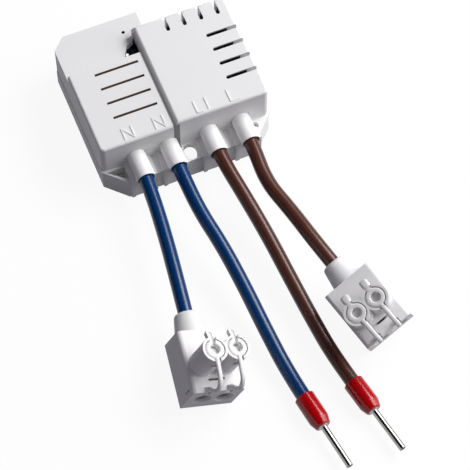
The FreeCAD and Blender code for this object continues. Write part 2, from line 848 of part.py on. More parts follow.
# Terminal blocks, each in its own frame: X across, Y from its front face to the neck, Z up

def block_body(side):
    """The block's shell: body, twin towers, entries, chamber and slots."""
    half = s.block_width / 2
    outline = [(0, 0), (s.block_length, 0), (s.block_length, s.block_back_height),
               (0, s.block_front_height)]
    shell = prism(f"block_{side}", outline, "yz", -half, half)
    shell = round_edges(f"block_rounded_{side}", shell, s.block_edge, is_block_edge)
    towers = [
        rod(f"tower_{side}_{index}", (x, s.tower_place, s.chamber_top + s.fit_gap), "z",
            s.tower_height - s.chamber_top - s.fit_gap, s.tower_radius)
        for index, x in enumerate(POLES)
    ]
    tools = [
        box(f"chamber_{side}", (-s.pole_offset - s.chamber_width / 2, s.pole_offset + s.chamber_width / 2),
            (s.chamber_front, s.chamber_back), (s.chamber_low, s.chamber_top)),
        box(f"top_slot_{side}", (-s.top_slot_width / 2, s.top_slot_width / 2),
            (s.top_slot_place, s.top_slot_place + s.top_slot_gap),
            (s.chamber_top - OVERSHOOT, s.block_front_height + OVERSHOOT)),
        box(f"side_slot_{side}", (-half - OVERSHOOT, -half + s.top_slot_gap),
            (s.top_slot_place / 2, s.top_slot_place / 2 + s.top_slot_gap),
            (s.entry_height, s.entry_height + s.side_slot_height)),
    ]
    for index, x in enumerate(POLES):
        tools += pole_cuts(f"{side}_{index}", x)
    return cut(f"terminal_body_{side}", join(f"block_outer_{side}", [shell] + towers), tools)


def is_block_edge(a, b):
    """Pick the long top edges of a block."""
    middle = float(s.block_back_height) / 2
    return a.z > middle and b.z > middle and near(a.x, b.x)


def pole_cuts(tag, x):
    """The tower's bore, its two slots, the wire entry and the pocket for the strap's foot."""
    bore = s.tower_radius - s.tower_wall
    above = s.tower_height + OVERSHOOT
    slot = s.tower_slot / 2
    foot_half = s.strap_width / 2 + s.button_gap
    pocket_low = s.block_front_height - s.strap_foot_seat - s.button_travel - s.stem_lift
    front_low = s.tower_height - s.strap_thick - s.button_travel * 2
    back_low = s.tower_height - s.tab_thick - s.tab_drop - s.button_travel - s.button_gap
    return [
        rod(f"tower_bore_{tag}", (x, s.tower_place, s.chamber_top - OVERSHOOT), "z", above, bore),
        box(f"tower_front_slot_{tag}", (x - slot, x + slot),
            (s.tower_place - s.tower_radius - OVERSHOOT, s.tower_place), (front_low, above)),
        box(f"tower_back_slot_{tag}", (x - slot, x + slot),
            (s.tower_place, s.tower_place + s.tower_radius + OVERSHOOT), (back_low, above)),
        rod(f"entry_{tag}", (x, -OVERSHOOT, s.entry_height), "y", s.chamber_front + OVERSHOOT * 2,
            s.entry_radius),
        cone(f"entry_flare_{tag}", (x, -s.fit_gap, s.entry_height), "y", s.entry_depth, s.entry_flare,
             s.entry_radius),
        box(f"foot_pocket_{tag}", (x - foot_half, x + foot_half),
            (as_size(-OVERSHOOT), s.strap_foot * 2 + s.button_gap),
            (pocket_low, s.block_front_height + OVERSHOOT)),
    ]


def block_neck(side):
    """The cone that takes the lead."""
    height = s.neck_height
    across = NECK_OFFSETS[side]
    start = s.block_length
    body_length = s.neck_length - s.neck_chamfer
    body = cone(f"neck_cone_{side}", (across, start, height), "y", body_length,
                s.neck_base_radius, s.neck_end_radius)
    end = cone(f"neck_end_{side}", (across, start + body_length, height), "y", s.neck_chamfer,
               s.neck_end_radius, s.neck_end_radius - s.neck_chamfer)
    bore = rod(f"neck_bore_{side}", (across, start - OVERSHOOT, height), "y",
               s.neck_length + OVERSHOOT * 2, s.sleeve_bore)
    return cut(f"terminal_neck_{side}", join(f"neck_body_{side}", [body, end]), [bore])


def release_button(tag, x):
    """Ring, tab, strap and stem in one piece: pressed down, the stem opens the clamp spring."""
    centre = s.tower_place
    radius = s.tower_radius - s.tower_wall - s.button_gap
    top = s.tower_height
    half_strap = s.strap_width / 2
    ring = rod(f"button_ring_{tag}", (x, centre, top - s.button_thick), "z", s.button_thick, radius)
    hole = rod(f"button_hole_{tag}", (x, centre, top - s.button_thick / 2), "z", s.button_thick,
               s.button_hole)
    spring_top = leaf_height(centre + s.stem_radius)
    stem_low = spring_top + s.stem_lift
    stem = rod(f"button_stem_{tag}", (x, centre, stem_low), "z", top - s.button_thick - stem_low + s.fit_gap,
               s.stem_radius)
    ring_front = centre - radius + s.fit_gap
    bend = centre - s.strap_reach
    foot_low = s.block_front_height - s.strap_foot_seat
    foot_high = foot_low + s.strap_foot_height
    thick = s.strap_thick
    strap = prism(f"button_strap_{tag}", [
        (ring_front + thick, top), (ring_front + thick, top - thick), (ring_front, top - thick),
        (bend + thick, s.strap_bend_height - thick / 2), (s.strap_foot + thick / 2, foot_high),
        (s.strap_foot + thick / 2, foot_low), (s.strap_foot - thick / 2, foot_low),
        (s.strap_foot - thick / 2, foot_high), (bend, s.strap_bend_height - thick / 2),
        (bend, s.strap_bend_height), (ring_front, top),
    ], "yz", x - half_strap, x + half_strap)
    tab_start = centre + radius - s.fit_gap
    tab_end = centre + s.tab_reach
    tab = prism(f"button_tab_{tag}", [
        (tab_start - thick / 2, top), (tab_start - thick / 2, top - s.tab_thick),
        (tab_start, top - s.tab_thick), (tab_end, top - s.tab_drop - s.tab_thick),
        (tab_end, top - s.tab_drop), (tab_start, top),
    ], "yz", x - s.tab_width / 2, x + s.tab_width / 2)
    body = join(f"button_body_{tag}", [ring, stem, strap, tab])
    return cut(f"release_button_{tag}", body, [hole])


def leaf_height(y):
    """The height of the clamp spring's upper face at a place along the block."""
    run = s.spring_end_y - s.spring_root_y
    rise = s.spring_end_z - s.spring_root_z
    return s.spring_root_z + rise * ((y - s.spring_root_y) / run) + s.spring_thick


def clamp_spring(tag, x):
    """A leaf that rises from its root pin to its free edge under the contact bar."""
    half = s.spring_width / 2
    thick = s.spring_thick
    leaf = prism(f"clamp_leaf_{tag}", [
        (s.spring_root_y, s.spring_root_z), (s.spring_end_y, s.spring_end_z),
        (s.spring_end_y, s.spring_end_z + thick), (s.spring_root_y, s.spring_root_z + thick),
    ], "yz", x - half, x + half)
    pin = rod(f"clamp_pin_{tag}", (x - half, s.spring_root_y, s.spring_root_z + thick / 2), "x",
              s.spring_width, thick)
    return join(f"clamp_spring_{tag}", [leaf, pin])


def contact_bar(side):
    """The metal bar that joins the two poles."""
    half = s.pole_offset + s.chamber_width / 2 - s.button_gap
    bar = box(f"bar_plate_{side}", (-half, half), (s.bar_front, s.bar_back), (s.bar_low, s.bar_high))
    foot = box(f"bar_foot_{side}", (-half, half), (s.bar_back - s.spring_thick * 2, s.bar_back),
               (s.chamber_low + s.seat_gap, s.bar_high))
    return join(f"contact_bar_{side}", [bar, foot])


def terminal_blocks():
    """Two identical blocks, each laid in its own pose."""
    for side in ("left", "right"):
        place, pose = block_pose(side)
        pieces = {
            f"terminal_body_{side}": block_body(side),
            f"terminal_neck_{side}": block_neck(side),
            f"contact_bar_{side}": contact_bar(side),
        }
        for letter, x in zip("ab", POLES):
            pieces[f"release_button_{side}_{letter}"] = release_button(f"{side}_{letter}", x)
            pieces[f"clamp_spring_{side}_{letter}"] = clamp_spring(f"{side}_{letter}", x)
        for name, piece in pieces.items():
            piece.Placement = pose
            set_base(piece, place)
            node(name, piece)


# Inside the housing

def main_board():
    """The board that fills the base."""
    inset = s.wall + s.board_gap
    points = behind(WALL_INSIDE + s.board_gap, inset)
    node("main_board", prism("main_board", points, "xy", s.board_lift, BOARD_TOP))


def radio_board():
    """The small radio board, carried by a row of header pins."""
    points = [(RADIO_LEFT, s.radio_front), (s.radio_right, s.radio_front), (s.radio_right, s.radio_back),
              (RADIO_LEFT + s.back_corner, s.radio_back), (RADIO_LEFT, s.radio_back - s.back_corner)]
    board = prism("radio_plate", points, "xy", RADIO_LOW, RADIO_TOP)
    pins = []
    for index in range(4):
        x = RADIO_LEFT + s.pin_pitch * (index + 0.5)
        pins.append(box(f"radio_pin_{index}", (x, x + s.pin_side),
                        (s.radio_front + s.pin_side, s.radio_front + s.pin_side * 2),
                        (BOARD_SEAT, RADIO_TOP + s.pin_side)))
    node("radio_board", join("radio_board", [board] + pins))


def reset_switch():
    """A small key under the pinhole."""
    half = s.key_side / 2
    body = box("key_body", (s.pinhole_x - half, s.pinhole_x + half),
               (s.pinhole_y - half, s.pinhole_y + half), (RADIO_TOP + s.seat_gap, RADIO_TOP + s.key_height))
    well = rod("key_well", (s.pinhole_x, s.pinhole_y, RADIO_TOP + s.key_height / 2), "z", s.key_height,
               s.plunger_radius + s.seat_gap)
    node("reset_switch", cut("reset_switch", body, [well]))
    low = RADIO_TOP + s.key_height / 2 + s.plunger_travel + s.seat_gap
    plunger = rod("reset_plunger", (s.pinhole_x, s.pinhole_y, low), "z",
                  RADIO_TOP + s.key_height + s.plunger_rise - low, s.plunger_radius)
    node("reset_plunger", plunger)


def status_light():
    """The light and the clear post that leads it up into the service opening."""
    half = s.led_side / 2
    low = RADIO_TOP + s.seat_gap
    led = box("status_led", (s.guide_x - half, s.guide_x + half), (s.guide_y - half, s.guide_y + half),
              (low, low + s.led_height))
    node("status_led", led)
    foot_low = low + s.led_height + s.seat_gap
    foot = rod("guide_foot", (s.guide_x, s.guide_y, foot_low), "z", s.guide_radius, s.guide_radius * 2)
    post = rod("guide_post", (s.guide_x, s.guide_y, foot_low), "z", s.guide_rise, s.guide_radius)
    node("light_guide", join("light_guide", [foot, post]))


def antenna():
    """A wire that stands on the radio board and runs forward along the left wall."""
    radius = s.antenna_radius
    x = RADIO_LEFT + radius
    y = s.radio_front + radius * 3
    low = RADIO_TOP + s.seat_gap
    high = BACK_LEVEL - s.cover_top - s.antenna_drop
    post = rod("antenna_post", (x, y, low), "z", high - low, radius)
    run = rod("antenna_run", (x, y, high), "-y", s.antenna_reach, radius)
    turn = ball("antenna_turn", (x, y, high), radius)
    node("antenna", join("antenna", [post, run, turn]))


def relay_housing():
    """The relay's base and its case."""
    x = (RELAY_LEFT, RELAY_LEFT + s.relay_width)
    y = (RELAY_FRONT, RELAY_BACK)
    base_top = BOARD_SEAT + s.relay_base_height
    node("relay_base", box("relay_base", x, y, (BOARD_SEAT, base_top)))
    outer = box("relay_case_outer", x, y, (base_top, BOARD_SEAT + RELAY_HEIGHT))
    thin = s.relay_wall
    inner = box("relay_case_inner", (x[0] + thin, x[1] - thin), (y[0] + thin, y[1] - thin),
                (base_top - OVERSHOOT, BOARD_SEAT + RELAY_HEIGHT - thin))
    node("relay_case", cut("relay_case", outer, [inner]))


RELAY_MIDDLE = RELAY_LEFT + s.relay_width / 2
RELAY_FLOOR = BOARD_SEAT + s.relay_base_height
YOKE_BACK = RELAY_FRONT + s.relay_wall + s.seat_gap
COIL_START = YOKE_BACK + s.yoke_thick
CORE_END = COIL_START + s.coil_length
ARMATURE_FACE = CORE_END + s.armature_gap
HINGE_LEVEL = BOARD_SEAT + RELAY_HEIGHT - s.relay_wall - s.yoke_thick
COIL_TOP = HINGE_LEVEL - s.yoke_thick - s.coil_yoke_gap
FLANGE_RADIUS = (COIL_TOP - RELAY_FLOOR - s.coil_floor_gap) / 2
CORE_LEVEL = COIL_TOP - FLANGE_RADIUS


def relay_magnet():
    """The coil on its core, and the yoke behind and over it."""
    coil = rod("coil_winding", (RELAY_MIDDLE, COIL_START, CORE_LEVEL), "y", s.coil_length,
               FLANGE_RADIUS - s.flange_step)
    flanges = [
        rod(f"coil_flange_{index}", (RELAY_MIDDLE, y, CORE_LEVEL), "y", s.flange, FLANGE_RADIUS)
        for index, y in enumerate((COIL_START, CORE_END - s.flange * 2))
    ]
    bore = rod("coil_bore", (RELAY_MIDDLE, COIL_START - OVERSHOOT, CORE_LEVEL), "y",
               s.coil_length + OVERSHOOT * 2, s.core_radius + s.seat_gap)
    trim = box("coil_trim", (RELAY_LEFT, RELAY_LEFT + s.relay_width),
               (CORE_END - s.flange, CORE_END + OVERSHOOT), (RELAY_FLOOR, HINGE_LEVEL + OVERSHOOT))
    node("relay_coil", cut("relay_coil", join("coil_body", [coil] + flanges), [bore, trim]))
    half = s.yoke_width / 2
    back = box("yoke_back", (RELAY_MIDDLE - half, RELAY_MIDDLE + half), (YOKE_BACK, COIL_START),
               (RELAY_FLOOR, HINGE_LEVEL))
    over = box("yoke_over", (RELAY_MIDDLE - half, RELAY_MIDDLE + half), (YOKE_BACK, CORE_END),
               (HINGE_LEVEL - s.yoke_thick, HINGE_LEVEL))
    core = rod("yoke_core", (RELAY_MIDDLE, COIL_START - s.seat_gap, CORE_LEVEL), "y",
               s.coil_length + s.seat_gap, s.core_radius)
    node("relay_yoke", join("relay_yoke", [back, over, core]))


def relay_contacts():
    """The armature with its moving contact, and the fixed contact it closes on."""
    half = s.yoke_width / 2
    high = HINGE_LEVEL - s.seat_gap
    armature = box("relay_armature", (RELAY_MIDDLE - half, RELAY_MIDDLE + half),
                   (ARMATURE_FACE, ARMATURE_FACE + s.armature_thick),
                   (RELAY_FLOOR + s.armature_foot, high))
    node("relay_armature", armature)
    leaf_back = ARMATURE_FACE + s.armature_thick
    contact_level = RELAY_FLOOR + s.contact_height
    width = s.leaf_width / 2
    leaf = box("contact_leaf", (RELAY_MIDDLE - width, RELAY_MIDDLE + width),
               (leaf_back, leaf_back + s.leaf_thick), (contact_level - s.contact_radius, high))
    rivet_length = s.contact_thick + s.leaf_thick
    rivet = rod("contact_rivet", (RELAY_MIDDLE, leaf_back + s.leaf_thick, contact_level), "-y",
                rivet_length, s.contact_radius)
    node("relay_moving_contact", join("relay_moving_contact", [leaf, rivet]))
    tip = leaf_back - s.contact_thick - s.contact_gap
    post = box("contact_post", (RELAY_MIDDLE - width, RELAY_MIDDLE + width),
               (tip - s.contact_thick * 2, tip - s.contact_thick),
               (RELAY_FLOOR, contact_level + s.contact_radius))
    button = rod("contact_button", (RELAY_MIDDLE, tip, contact_level), "-y", s.contact_thick * 1.5,
                 s.contact_radius)
    node("relay_fixed_contact", join("relay_fixed_contact", [post, button]))


def supply_parts():
    """The parts that turn the mains into the radio's low voltage."""
    def block(name, x, y, length, depth, height):
        piece = box(name, (x - length / 2, x + length / 2), (y - depth / 2, y + depth / 2),
                    (BOARD_SEAT, BOARD_SEAT + height))
        node(name, piece)

    filter_x = -SIDE + s.filter_inset
    block("input_capacitor", filter_x, s.filter_y, s.filter_length, s.filter_depth, SUPPLY_HEIGHT)
    block("supply_transformer", -SIDE + s.choke_inset, s.choke_y, s.choke_length, s.choke_depth,
          SUPPLY_HEIGHT - s.choke_drop)
    can = rod("smoothing_capacitor", (s.can_x, s.can_y, BOARD_SEAT), "z", SUPPLY_HEIGHT - s.can_drop,
              s.can_radius)
    node("smoothing_capacitor", can)
    varistor_x = filter_x + s.filter_length / 2 + s.varistor_gap + s.varistor_radius
    varistor = rod("varistor", (varistor_x, s.varistor_y, BOARD_SEAT + s.varistor_radius), "y",
                   s.varistor_thick, s.varistor_radius)
    node("varistor", varistor)
    level = BOARD_SEAT + s.fuse_radius
    start = filter_x - s.fuse_length / 2
    body = rod("fuse_body", (start, s.fuse_y, level), "x", s.fuse_length, s.fuse_radius)
    wire = rod("fuse_wires", (start - s.fuse_radius, s.fuse_y, level), "x",
               s.fuse_length + s.fuse_radius * 2, s.fuse_wire)
    ends = list(enumerate((start - s.fuse_radius, start + s.fuse_length + s.fuse_radius)))
    feet = [
        rod(f"fuse_foot_{index}", (x, s.fuse_y, BOARD_SEAT), "z", s.fuse_radius, s.fuse_wire)
        for index, x in ends
    ]
    bends = [ball(f"fuse_bend_{index}", (x, s.fuse_y, level), s.fuse_wire) for index, x in ends]
    node("fuse_resistor", join("fuse_resistor", [body, wire] + feet + bends))


def check_all():
    """Stop if any object failed or any piece is empty or broken."""
    doc.recompute()
    failed = [piece.Name for piece in doc.Objects if {"Invalid", "Error"} & set(piece.State)]
    broken = [name for name, piece in NODES.items() if piece.Shape.isNull() or not piece.Shape.isValid()]
    if failed or broken:
        raise RuntimeError(f"failed objects {failed}, broken pieces {broken}")


def write_pieces():
    """Write each piece to its own file."""
    os.makedirs("parts", exist_ok=True)
    for name, piece in NODES.items():
        piece.Shape.exportStep(f"parts/{name}.step")
        print(name, "solids", len(piece.Shape.Solids), "volume", round(piece.Shape.Volume, 1))


base_shell()
top_cover()
cable_sleeves()
leads()
lead_conductors()
ferrules()
terminal_blocks()
main_board()
radio_board()
reset_switch()
status_light()
antenna()
relay_housing()
relay_magnet()
relay_contacts()
supply_parts()
check_all()
write_pieces()
print(len(NODES), "pieces")
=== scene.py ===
import json
import math
import bpy
import numpy as np
from mathutils import Matrix, Vector
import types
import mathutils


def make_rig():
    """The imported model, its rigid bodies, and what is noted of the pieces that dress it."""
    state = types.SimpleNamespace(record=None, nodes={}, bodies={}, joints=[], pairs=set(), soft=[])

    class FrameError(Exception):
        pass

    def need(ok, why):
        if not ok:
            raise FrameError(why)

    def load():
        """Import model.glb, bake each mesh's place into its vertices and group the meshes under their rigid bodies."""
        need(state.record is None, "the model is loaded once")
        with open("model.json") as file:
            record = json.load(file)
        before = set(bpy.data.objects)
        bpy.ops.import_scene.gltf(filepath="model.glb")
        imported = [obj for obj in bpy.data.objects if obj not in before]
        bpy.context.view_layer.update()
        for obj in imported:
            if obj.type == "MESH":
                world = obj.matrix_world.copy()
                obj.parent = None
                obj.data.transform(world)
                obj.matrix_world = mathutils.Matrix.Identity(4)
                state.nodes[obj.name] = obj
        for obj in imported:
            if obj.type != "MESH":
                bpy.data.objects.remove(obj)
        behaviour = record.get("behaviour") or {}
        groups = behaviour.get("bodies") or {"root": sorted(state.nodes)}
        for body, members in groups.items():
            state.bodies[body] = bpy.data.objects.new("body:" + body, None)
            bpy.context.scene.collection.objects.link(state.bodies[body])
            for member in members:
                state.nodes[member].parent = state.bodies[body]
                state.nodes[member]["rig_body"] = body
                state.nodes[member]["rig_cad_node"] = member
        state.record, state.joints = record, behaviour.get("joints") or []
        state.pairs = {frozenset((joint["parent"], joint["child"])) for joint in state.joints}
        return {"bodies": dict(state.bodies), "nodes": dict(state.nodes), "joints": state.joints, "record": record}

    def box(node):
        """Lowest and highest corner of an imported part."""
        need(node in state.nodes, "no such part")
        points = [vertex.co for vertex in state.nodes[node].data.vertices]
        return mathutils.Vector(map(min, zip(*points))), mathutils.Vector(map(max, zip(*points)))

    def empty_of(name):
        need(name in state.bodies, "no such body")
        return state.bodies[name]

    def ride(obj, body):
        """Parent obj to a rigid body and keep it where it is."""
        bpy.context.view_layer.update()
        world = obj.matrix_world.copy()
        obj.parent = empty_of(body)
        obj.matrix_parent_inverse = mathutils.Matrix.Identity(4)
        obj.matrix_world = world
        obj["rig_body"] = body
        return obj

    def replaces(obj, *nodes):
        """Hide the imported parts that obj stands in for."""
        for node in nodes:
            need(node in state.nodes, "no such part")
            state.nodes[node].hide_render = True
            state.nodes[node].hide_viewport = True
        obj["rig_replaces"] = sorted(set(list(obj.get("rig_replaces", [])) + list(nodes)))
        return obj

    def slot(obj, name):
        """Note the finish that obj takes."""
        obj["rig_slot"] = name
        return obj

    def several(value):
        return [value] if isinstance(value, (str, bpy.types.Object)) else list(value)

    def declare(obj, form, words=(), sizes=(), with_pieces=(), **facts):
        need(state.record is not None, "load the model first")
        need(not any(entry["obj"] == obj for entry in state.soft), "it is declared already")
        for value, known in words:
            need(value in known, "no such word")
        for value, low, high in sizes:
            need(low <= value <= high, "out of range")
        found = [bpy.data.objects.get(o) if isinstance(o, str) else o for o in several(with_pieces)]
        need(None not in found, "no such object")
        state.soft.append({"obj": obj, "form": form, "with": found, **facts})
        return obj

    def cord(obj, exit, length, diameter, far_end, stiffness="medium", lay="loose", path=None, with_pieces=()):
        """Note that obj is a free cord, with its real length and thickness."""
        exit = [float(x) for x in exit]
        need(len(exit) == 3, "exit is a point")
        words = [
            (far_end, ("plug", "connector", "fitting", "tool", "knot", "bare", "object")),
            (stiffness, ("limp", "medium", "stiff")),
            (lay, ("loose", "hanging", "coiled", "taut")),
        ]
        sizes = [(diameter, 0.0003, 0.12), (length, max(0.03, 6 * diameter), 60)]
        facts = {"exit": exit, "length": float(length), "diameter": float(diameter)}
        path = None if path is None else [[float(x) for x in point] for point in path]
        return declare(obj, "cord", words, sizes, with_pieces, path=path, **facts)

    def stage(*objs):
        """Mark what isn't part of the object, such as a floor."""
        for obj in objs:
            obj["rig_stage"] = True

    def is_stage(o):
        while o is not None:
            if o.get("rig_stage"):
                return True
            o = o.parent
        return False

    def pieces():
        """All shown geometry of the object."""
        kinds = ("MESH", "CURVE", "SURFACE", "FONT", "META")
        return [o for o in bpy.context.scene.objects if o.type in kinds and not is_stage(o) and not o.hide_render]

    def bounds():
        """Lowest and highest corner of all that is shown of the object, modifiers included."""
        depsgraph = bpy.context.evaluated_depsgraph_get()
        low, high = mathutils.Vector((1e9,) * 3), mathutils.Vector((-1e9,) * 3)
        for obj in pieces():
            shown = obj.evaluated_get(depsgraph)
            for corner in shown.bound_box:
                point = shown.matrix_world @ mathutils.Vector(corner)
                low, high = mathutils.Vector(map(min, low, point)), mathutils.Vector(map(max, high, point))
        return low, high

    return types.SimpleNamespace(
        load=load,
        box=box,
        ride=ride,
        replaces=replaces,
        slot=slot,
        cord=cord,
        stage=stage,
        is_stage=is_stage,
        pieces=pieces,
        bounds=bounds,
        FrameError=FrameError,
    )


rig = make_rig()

# Looks of an in-wall wireless relay module with four short leads.
# X runs along the housing's width, Y from the leads side to the back, Z up.
# Lengths are millimetres, and MM turns them into metres.
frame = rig.load()
cad_low, cad_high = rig.bounds()
NODES = frame["nodes"]
RECORD = frame["record"]
MOUNTS = {mount["name"]: mount for mount in RECORD["mounts"]}
JOINTS = {joint["name"]: joint for joint in frame["joints"]}
MM = 0.001
SIDES = ("left", "right")
POLES = ("a", "b")
PLACES = (1, 2, 3, 4)


# Camera: where the photograph was taken from, found from the housing's straight edges

CAMERA_RIGHT = Vector((0.9258, -0.3779, 0.0018))
CAMERA_BACK = Vector((-0.1777, -0.4314, 0.8845))
CAMERA_PLACE = Vector((-0.08253, -0.24218, 0.42371))
CAMERA_LENS = 165.79
CAMERA_SENSOR = 36.0
CAMERA_CLIP = (0.01, 10.0)


def make_camera():
    """The photograph's viewpoint."""
    data = bpy.data.cameras.new("viewpoint")
    data.lens, data.sensor_width = CAMERA_LENS, CAMERA_SENSOR
    data.clip_start, data.clip_end = CAMERA_CLIP
    camera = bpy.data.objects.new("viewpoint", data)
    up = CAMERA_BACK.cross(CAMERA_RIGHT)
    turn = Matrix((CAMERA_RIGHT, up, CAMERA_BACK)).transposed()
    camera.matrix_world = Matrix.Translation(CAMERA_PLACE) @ turn.to_4x4()
    bpy.context.scene.collection.objects.link(camera)
    bpy.context.scene.camera = camera


# Leads: the points of each route, from behind the front wall to the far end

LEAD_DIAMETER = 3.3
LEAD_STEPS = 16
LEAD_ROUND_STEPS = 10
LEAD_ROUTES = {
    "blue_lead_outer": [
        (-11.9, -11.63, 8.9), (-11.9, -20.85, 8.9), (-13.1, -33.4, 8.85), (-14.96, -46.34, 9.01),
        (-16.4, -56.19, 8.01),
    ],
    "blue_lead_inner": [
        (-4.2, -11.63, 8.9), (-4.2, -20.85, 8.9), (-3.9, -31.0, 8.15), (-2.3, -40.2, 6.95),
        (-1.35, -50.5, 5.5), (-0.75, -61.5, 3.9), (0.13, -72.21, 2.4), (1.47, -81.01, 2.4),
    ],
    "brown_lead_inner": [
        (5.3, -11.63, 8.9), (5.3, -20.85, 8.9), (6.6, -30.6, 7.9), (7.9, -41.0, 6.4),
        (8.75, -52.0, 4.9), (9.6, -62.5, 3.6), (10.71, -72.54, 2.4), (12.56, -81.75, 2.4),
    ],
    "brown_lead_outer": [
        (13.0, -11.63, 8.9), (13.0, -20.85, 8.9), (12.2, -30.2, 8.9), (14.4, -39.3, 9.35),
        (16.13, -49.67, 10.44), (18.47, -57.17, 8.95),
    ],
}


def make_lead(node):
    """A round insulated lead along one smooth line through its route."""
    curve = bpy.data.curves.new(f"{node}_insulation", "CURVE")
    curve.dimensions = "3D"
    curve.resolution_u = LEAD_STEPS
    curve.bevel_depth = 1.0
    curve.bevel_resolution = LEAD_ROUND_STEPS
    curve.use_fill_caps = True
    route = LEAD_ROUTES[node]
    line = curve.splines.new("NURBS")
    line.points.add(len(route) - 1)
    for point, place in zip(line.points, route):
        point.co = (place[0] * MM, place[1] * MM, place[2] * MM, 1.0)
        point.radius = LEAD_DIAMETER / 2 * MM
    line.order_u = 3
    line.use_endpoint_u = True
    lead = bpy.data.objects.new(curve.name, curve)
    bpy.context.scene.collection.objects.link(lead)
    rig.ride(lead, "module")
    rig.replaces(lead, node)
    slot = "blue_insulation" if node.startswith("blue") else "brown_insulation"
    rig.slot(lead, slot)
    curve.materials.append(FINISHES[slot])
    return lead


def declare_leads(leads, fittings):
    """Each lead's length, thickness and far end, with the pieces that it carries."""
    block = {side: block_pieces(side, fittings) for side in SIDES}
    ferrule = {side: [fittings[f"ferrule_collar_{side}"], fittings[f"ferrule_pin_{side}"]] for side in SIDES}
    start = {node: [size * MM for size in LEAD_ROUTES[node][0]] for node in LEAD_ROUTES}
    width = LEAD_DIAMETER * MM
    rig.cord(leads["blue_lead_outer"], exit=start["blue_lead_outer"], length=0.0449, diameter=width,
            far_end="connector", stiffness="medium", lay="loose", with_pieces=block["left"])
    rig.cord(leads["blue_lead_inner"], exit=start["blue_lead_inner"], length=0.0701, diameter=width,
            far_end="fitting", stiffness="medium", lay="loose", with_pieces=ferrule["left"])
    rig.cord(leads["brown_lead_inner"], exit=start["brown_lead_inner"], length=0.0710, diameter=width,
            far_end="fitting", stiffness="medium", lay="loose", with_pieces=ferrule["right"])
    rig.cord(leads["brown_lead_outer"], exit=start["brown_lead_outer"], length=0.0463, diameter=width,
            far_end="connector", stiffness="medium", lay="loose", with_pieces=block["right"])


def block_pieces(side, fittings):
    """Every piece of one terminal block."""
    moving = [f"{kind}_{side}_{pole}" for kind in ("release_button", "clamp_spring") for pole in POLES]
    names = [f"terminal_body_{side}", f"terminal_neck_{side}", f"contact_bar_{side}"] + moving
    return [fittings.get(name, NODES[name]) for name in names]


# Shader maths

class Value:
    """One output of a material's nodes. Arithmetic on it adds Math nodes."""

    def __init__(self, finish, socket):
        self.finish = finish
        self.socket = socket

    def maths(self, operation, first, second):
        return self.finish.add("ShaderNodeMath", {0: first, 1: second}, operation=operation)

    def __add__(self, other):
        return self.maths("ADD", self, other)

    def __radd__(self, other):
        return self.maths("ADD", other, self)

    def __sub__(self, other):
        return self.maths("SUBTRACT", self, other)

    def __rsub__(self, other):
        return self.maths("SUBTRACT", other, self)

    def __mul__(self, other):
        return self.maths("MULTIPLY", self, other)

    def __rmul__(self, other):
        return self.maths("MULTIPLY", other, self)

    def __gt__(self, other):
        return self.maths("GREATER_THAN", self, other)

    def within(self, low, high):
        """1 between two limits, otherwise 0."""
        return (self > low) * (high - self > 0.0)

    def climb(self, low, high):
        """0 up to one limit, 1 from another, and even between them."""
        names = {"Value": self, "From Min": low, "From Max": high}
        return self.finish.add("ShaderNodeMapRange", names, clamp=True)

    def near_row(self, first, step, half):
        """1 within half of the nearest of many rows that lie a step apart, otherwise 0."""
        share = (self - first) * (1 / step) + 0.5
        offset = share.maths("FRACT", share, 0.0) - 0.5
        return half / step - offset.maths("ABSOLUTE", offset, 0.0) > 0.0


def pick(sockets, name):
    """The socket that is in use under a name or a number."""
    if isinstance(name, int):
        return sockets[name]
    return next(socket for socket in sockets if socket.name == name and socket.enabled)


class Finish:
    """A node tree, and the methods that add to it."""

    def __init__(self, owner):
        owner.use_nodes = True
        self.owner = owner
        self.tree = owner.node_tree
        self.tree.nodes.clear()

    def add(self, kind, inputs=None, output=0, **settings):
        """Add a node: its settings first, then the values or links of its sockets."""
        node = self.tree.nodes.new(kind)
        for name, setting in settings.items():
            setattr(node, name, setting)
        for name, value in (inputs or {}).items():
            socket = pick(node.inputs, name)
            if isinstance(value, Value):
                self.tree.links.new(value.socket, socket)
            else:
                socket.default_value = value
        return Value(self, pick(node.outputs, output)) if len(node.outputs) else None

    def place(self):
        """Where a point lies on the object."""
        return self.add("ShaderNodeTexCoord", output="Object")

    def coordinates(self):
        """The three coordinates of a point in millimetres."""
        place = self.add("ShaderNodeVectorMath", {0: self.place(), "Scale": 1 / MM}, operation="SCALE")
        return [self.add("ShaderNodeSeparateXYZ", {0: place}, output=name) for name in "XYZ"]

    def distance_along(self, origin, axis):
        """How far a point lies from an origin along an axis, in millimetres."""
        start = tuple(float(size) * MM for size in origin)
        moved = self.add("ShaderNodeVectorMath", {0: self.place(), 1: start}, operation="SUBTRACT")
        inputs = {0: moved, 1: tuple(float(size) for size in axis)}
        return self.add("ShaderNodeVectorMath", inputs, output="Value", operation="DOT_PRODUCT") * (1 / MM)

    def noise(self, size, detail=2.0, stretch=(1.0, 1.0, 1.0)):
        """Cloudy noise from 0 to 1 whose features are about a size in millimetres."""
        place = self.add("ShaderNodeMapping", {"Vector": self.place(), "Scale": stretch})
        return self.add("ShaderNodeTexNoise", {"Vector": place, "Scale": 1 / (size * MM), "Detail": detail})

    def tint(self, factor, first, second):
        """A colour that lies between two colours."""
        first, second = (part if isinstance(part, Value) else (*part, 1.0) for part in (first, second))
        inputs = {"Factor": factor, "A": first, "B": second}
        return self.add("ShaderNodeMix", inputs, output="Result", data_type="RGBA")

    def relief(self, height, depth):
        """A fine relief, where a height of 1 stands for a depth in millimetres."""
        return self.add("ShaderNodeBump", {"Height": height, "Distance": depth * MM}, output="Normal")

    def close(self, **inputs):
        """End the material in one shader. An underscore stands for a blank in a socket's name."""
        named = {name.replace("_", " "): value for name, value in inputs.items()}
        shader = self.add("ShaderNodeBsdfPrincipled", named)
        self.add("ShaderNodeOutputMaterial", {"Surface": shader})
        return self.owner


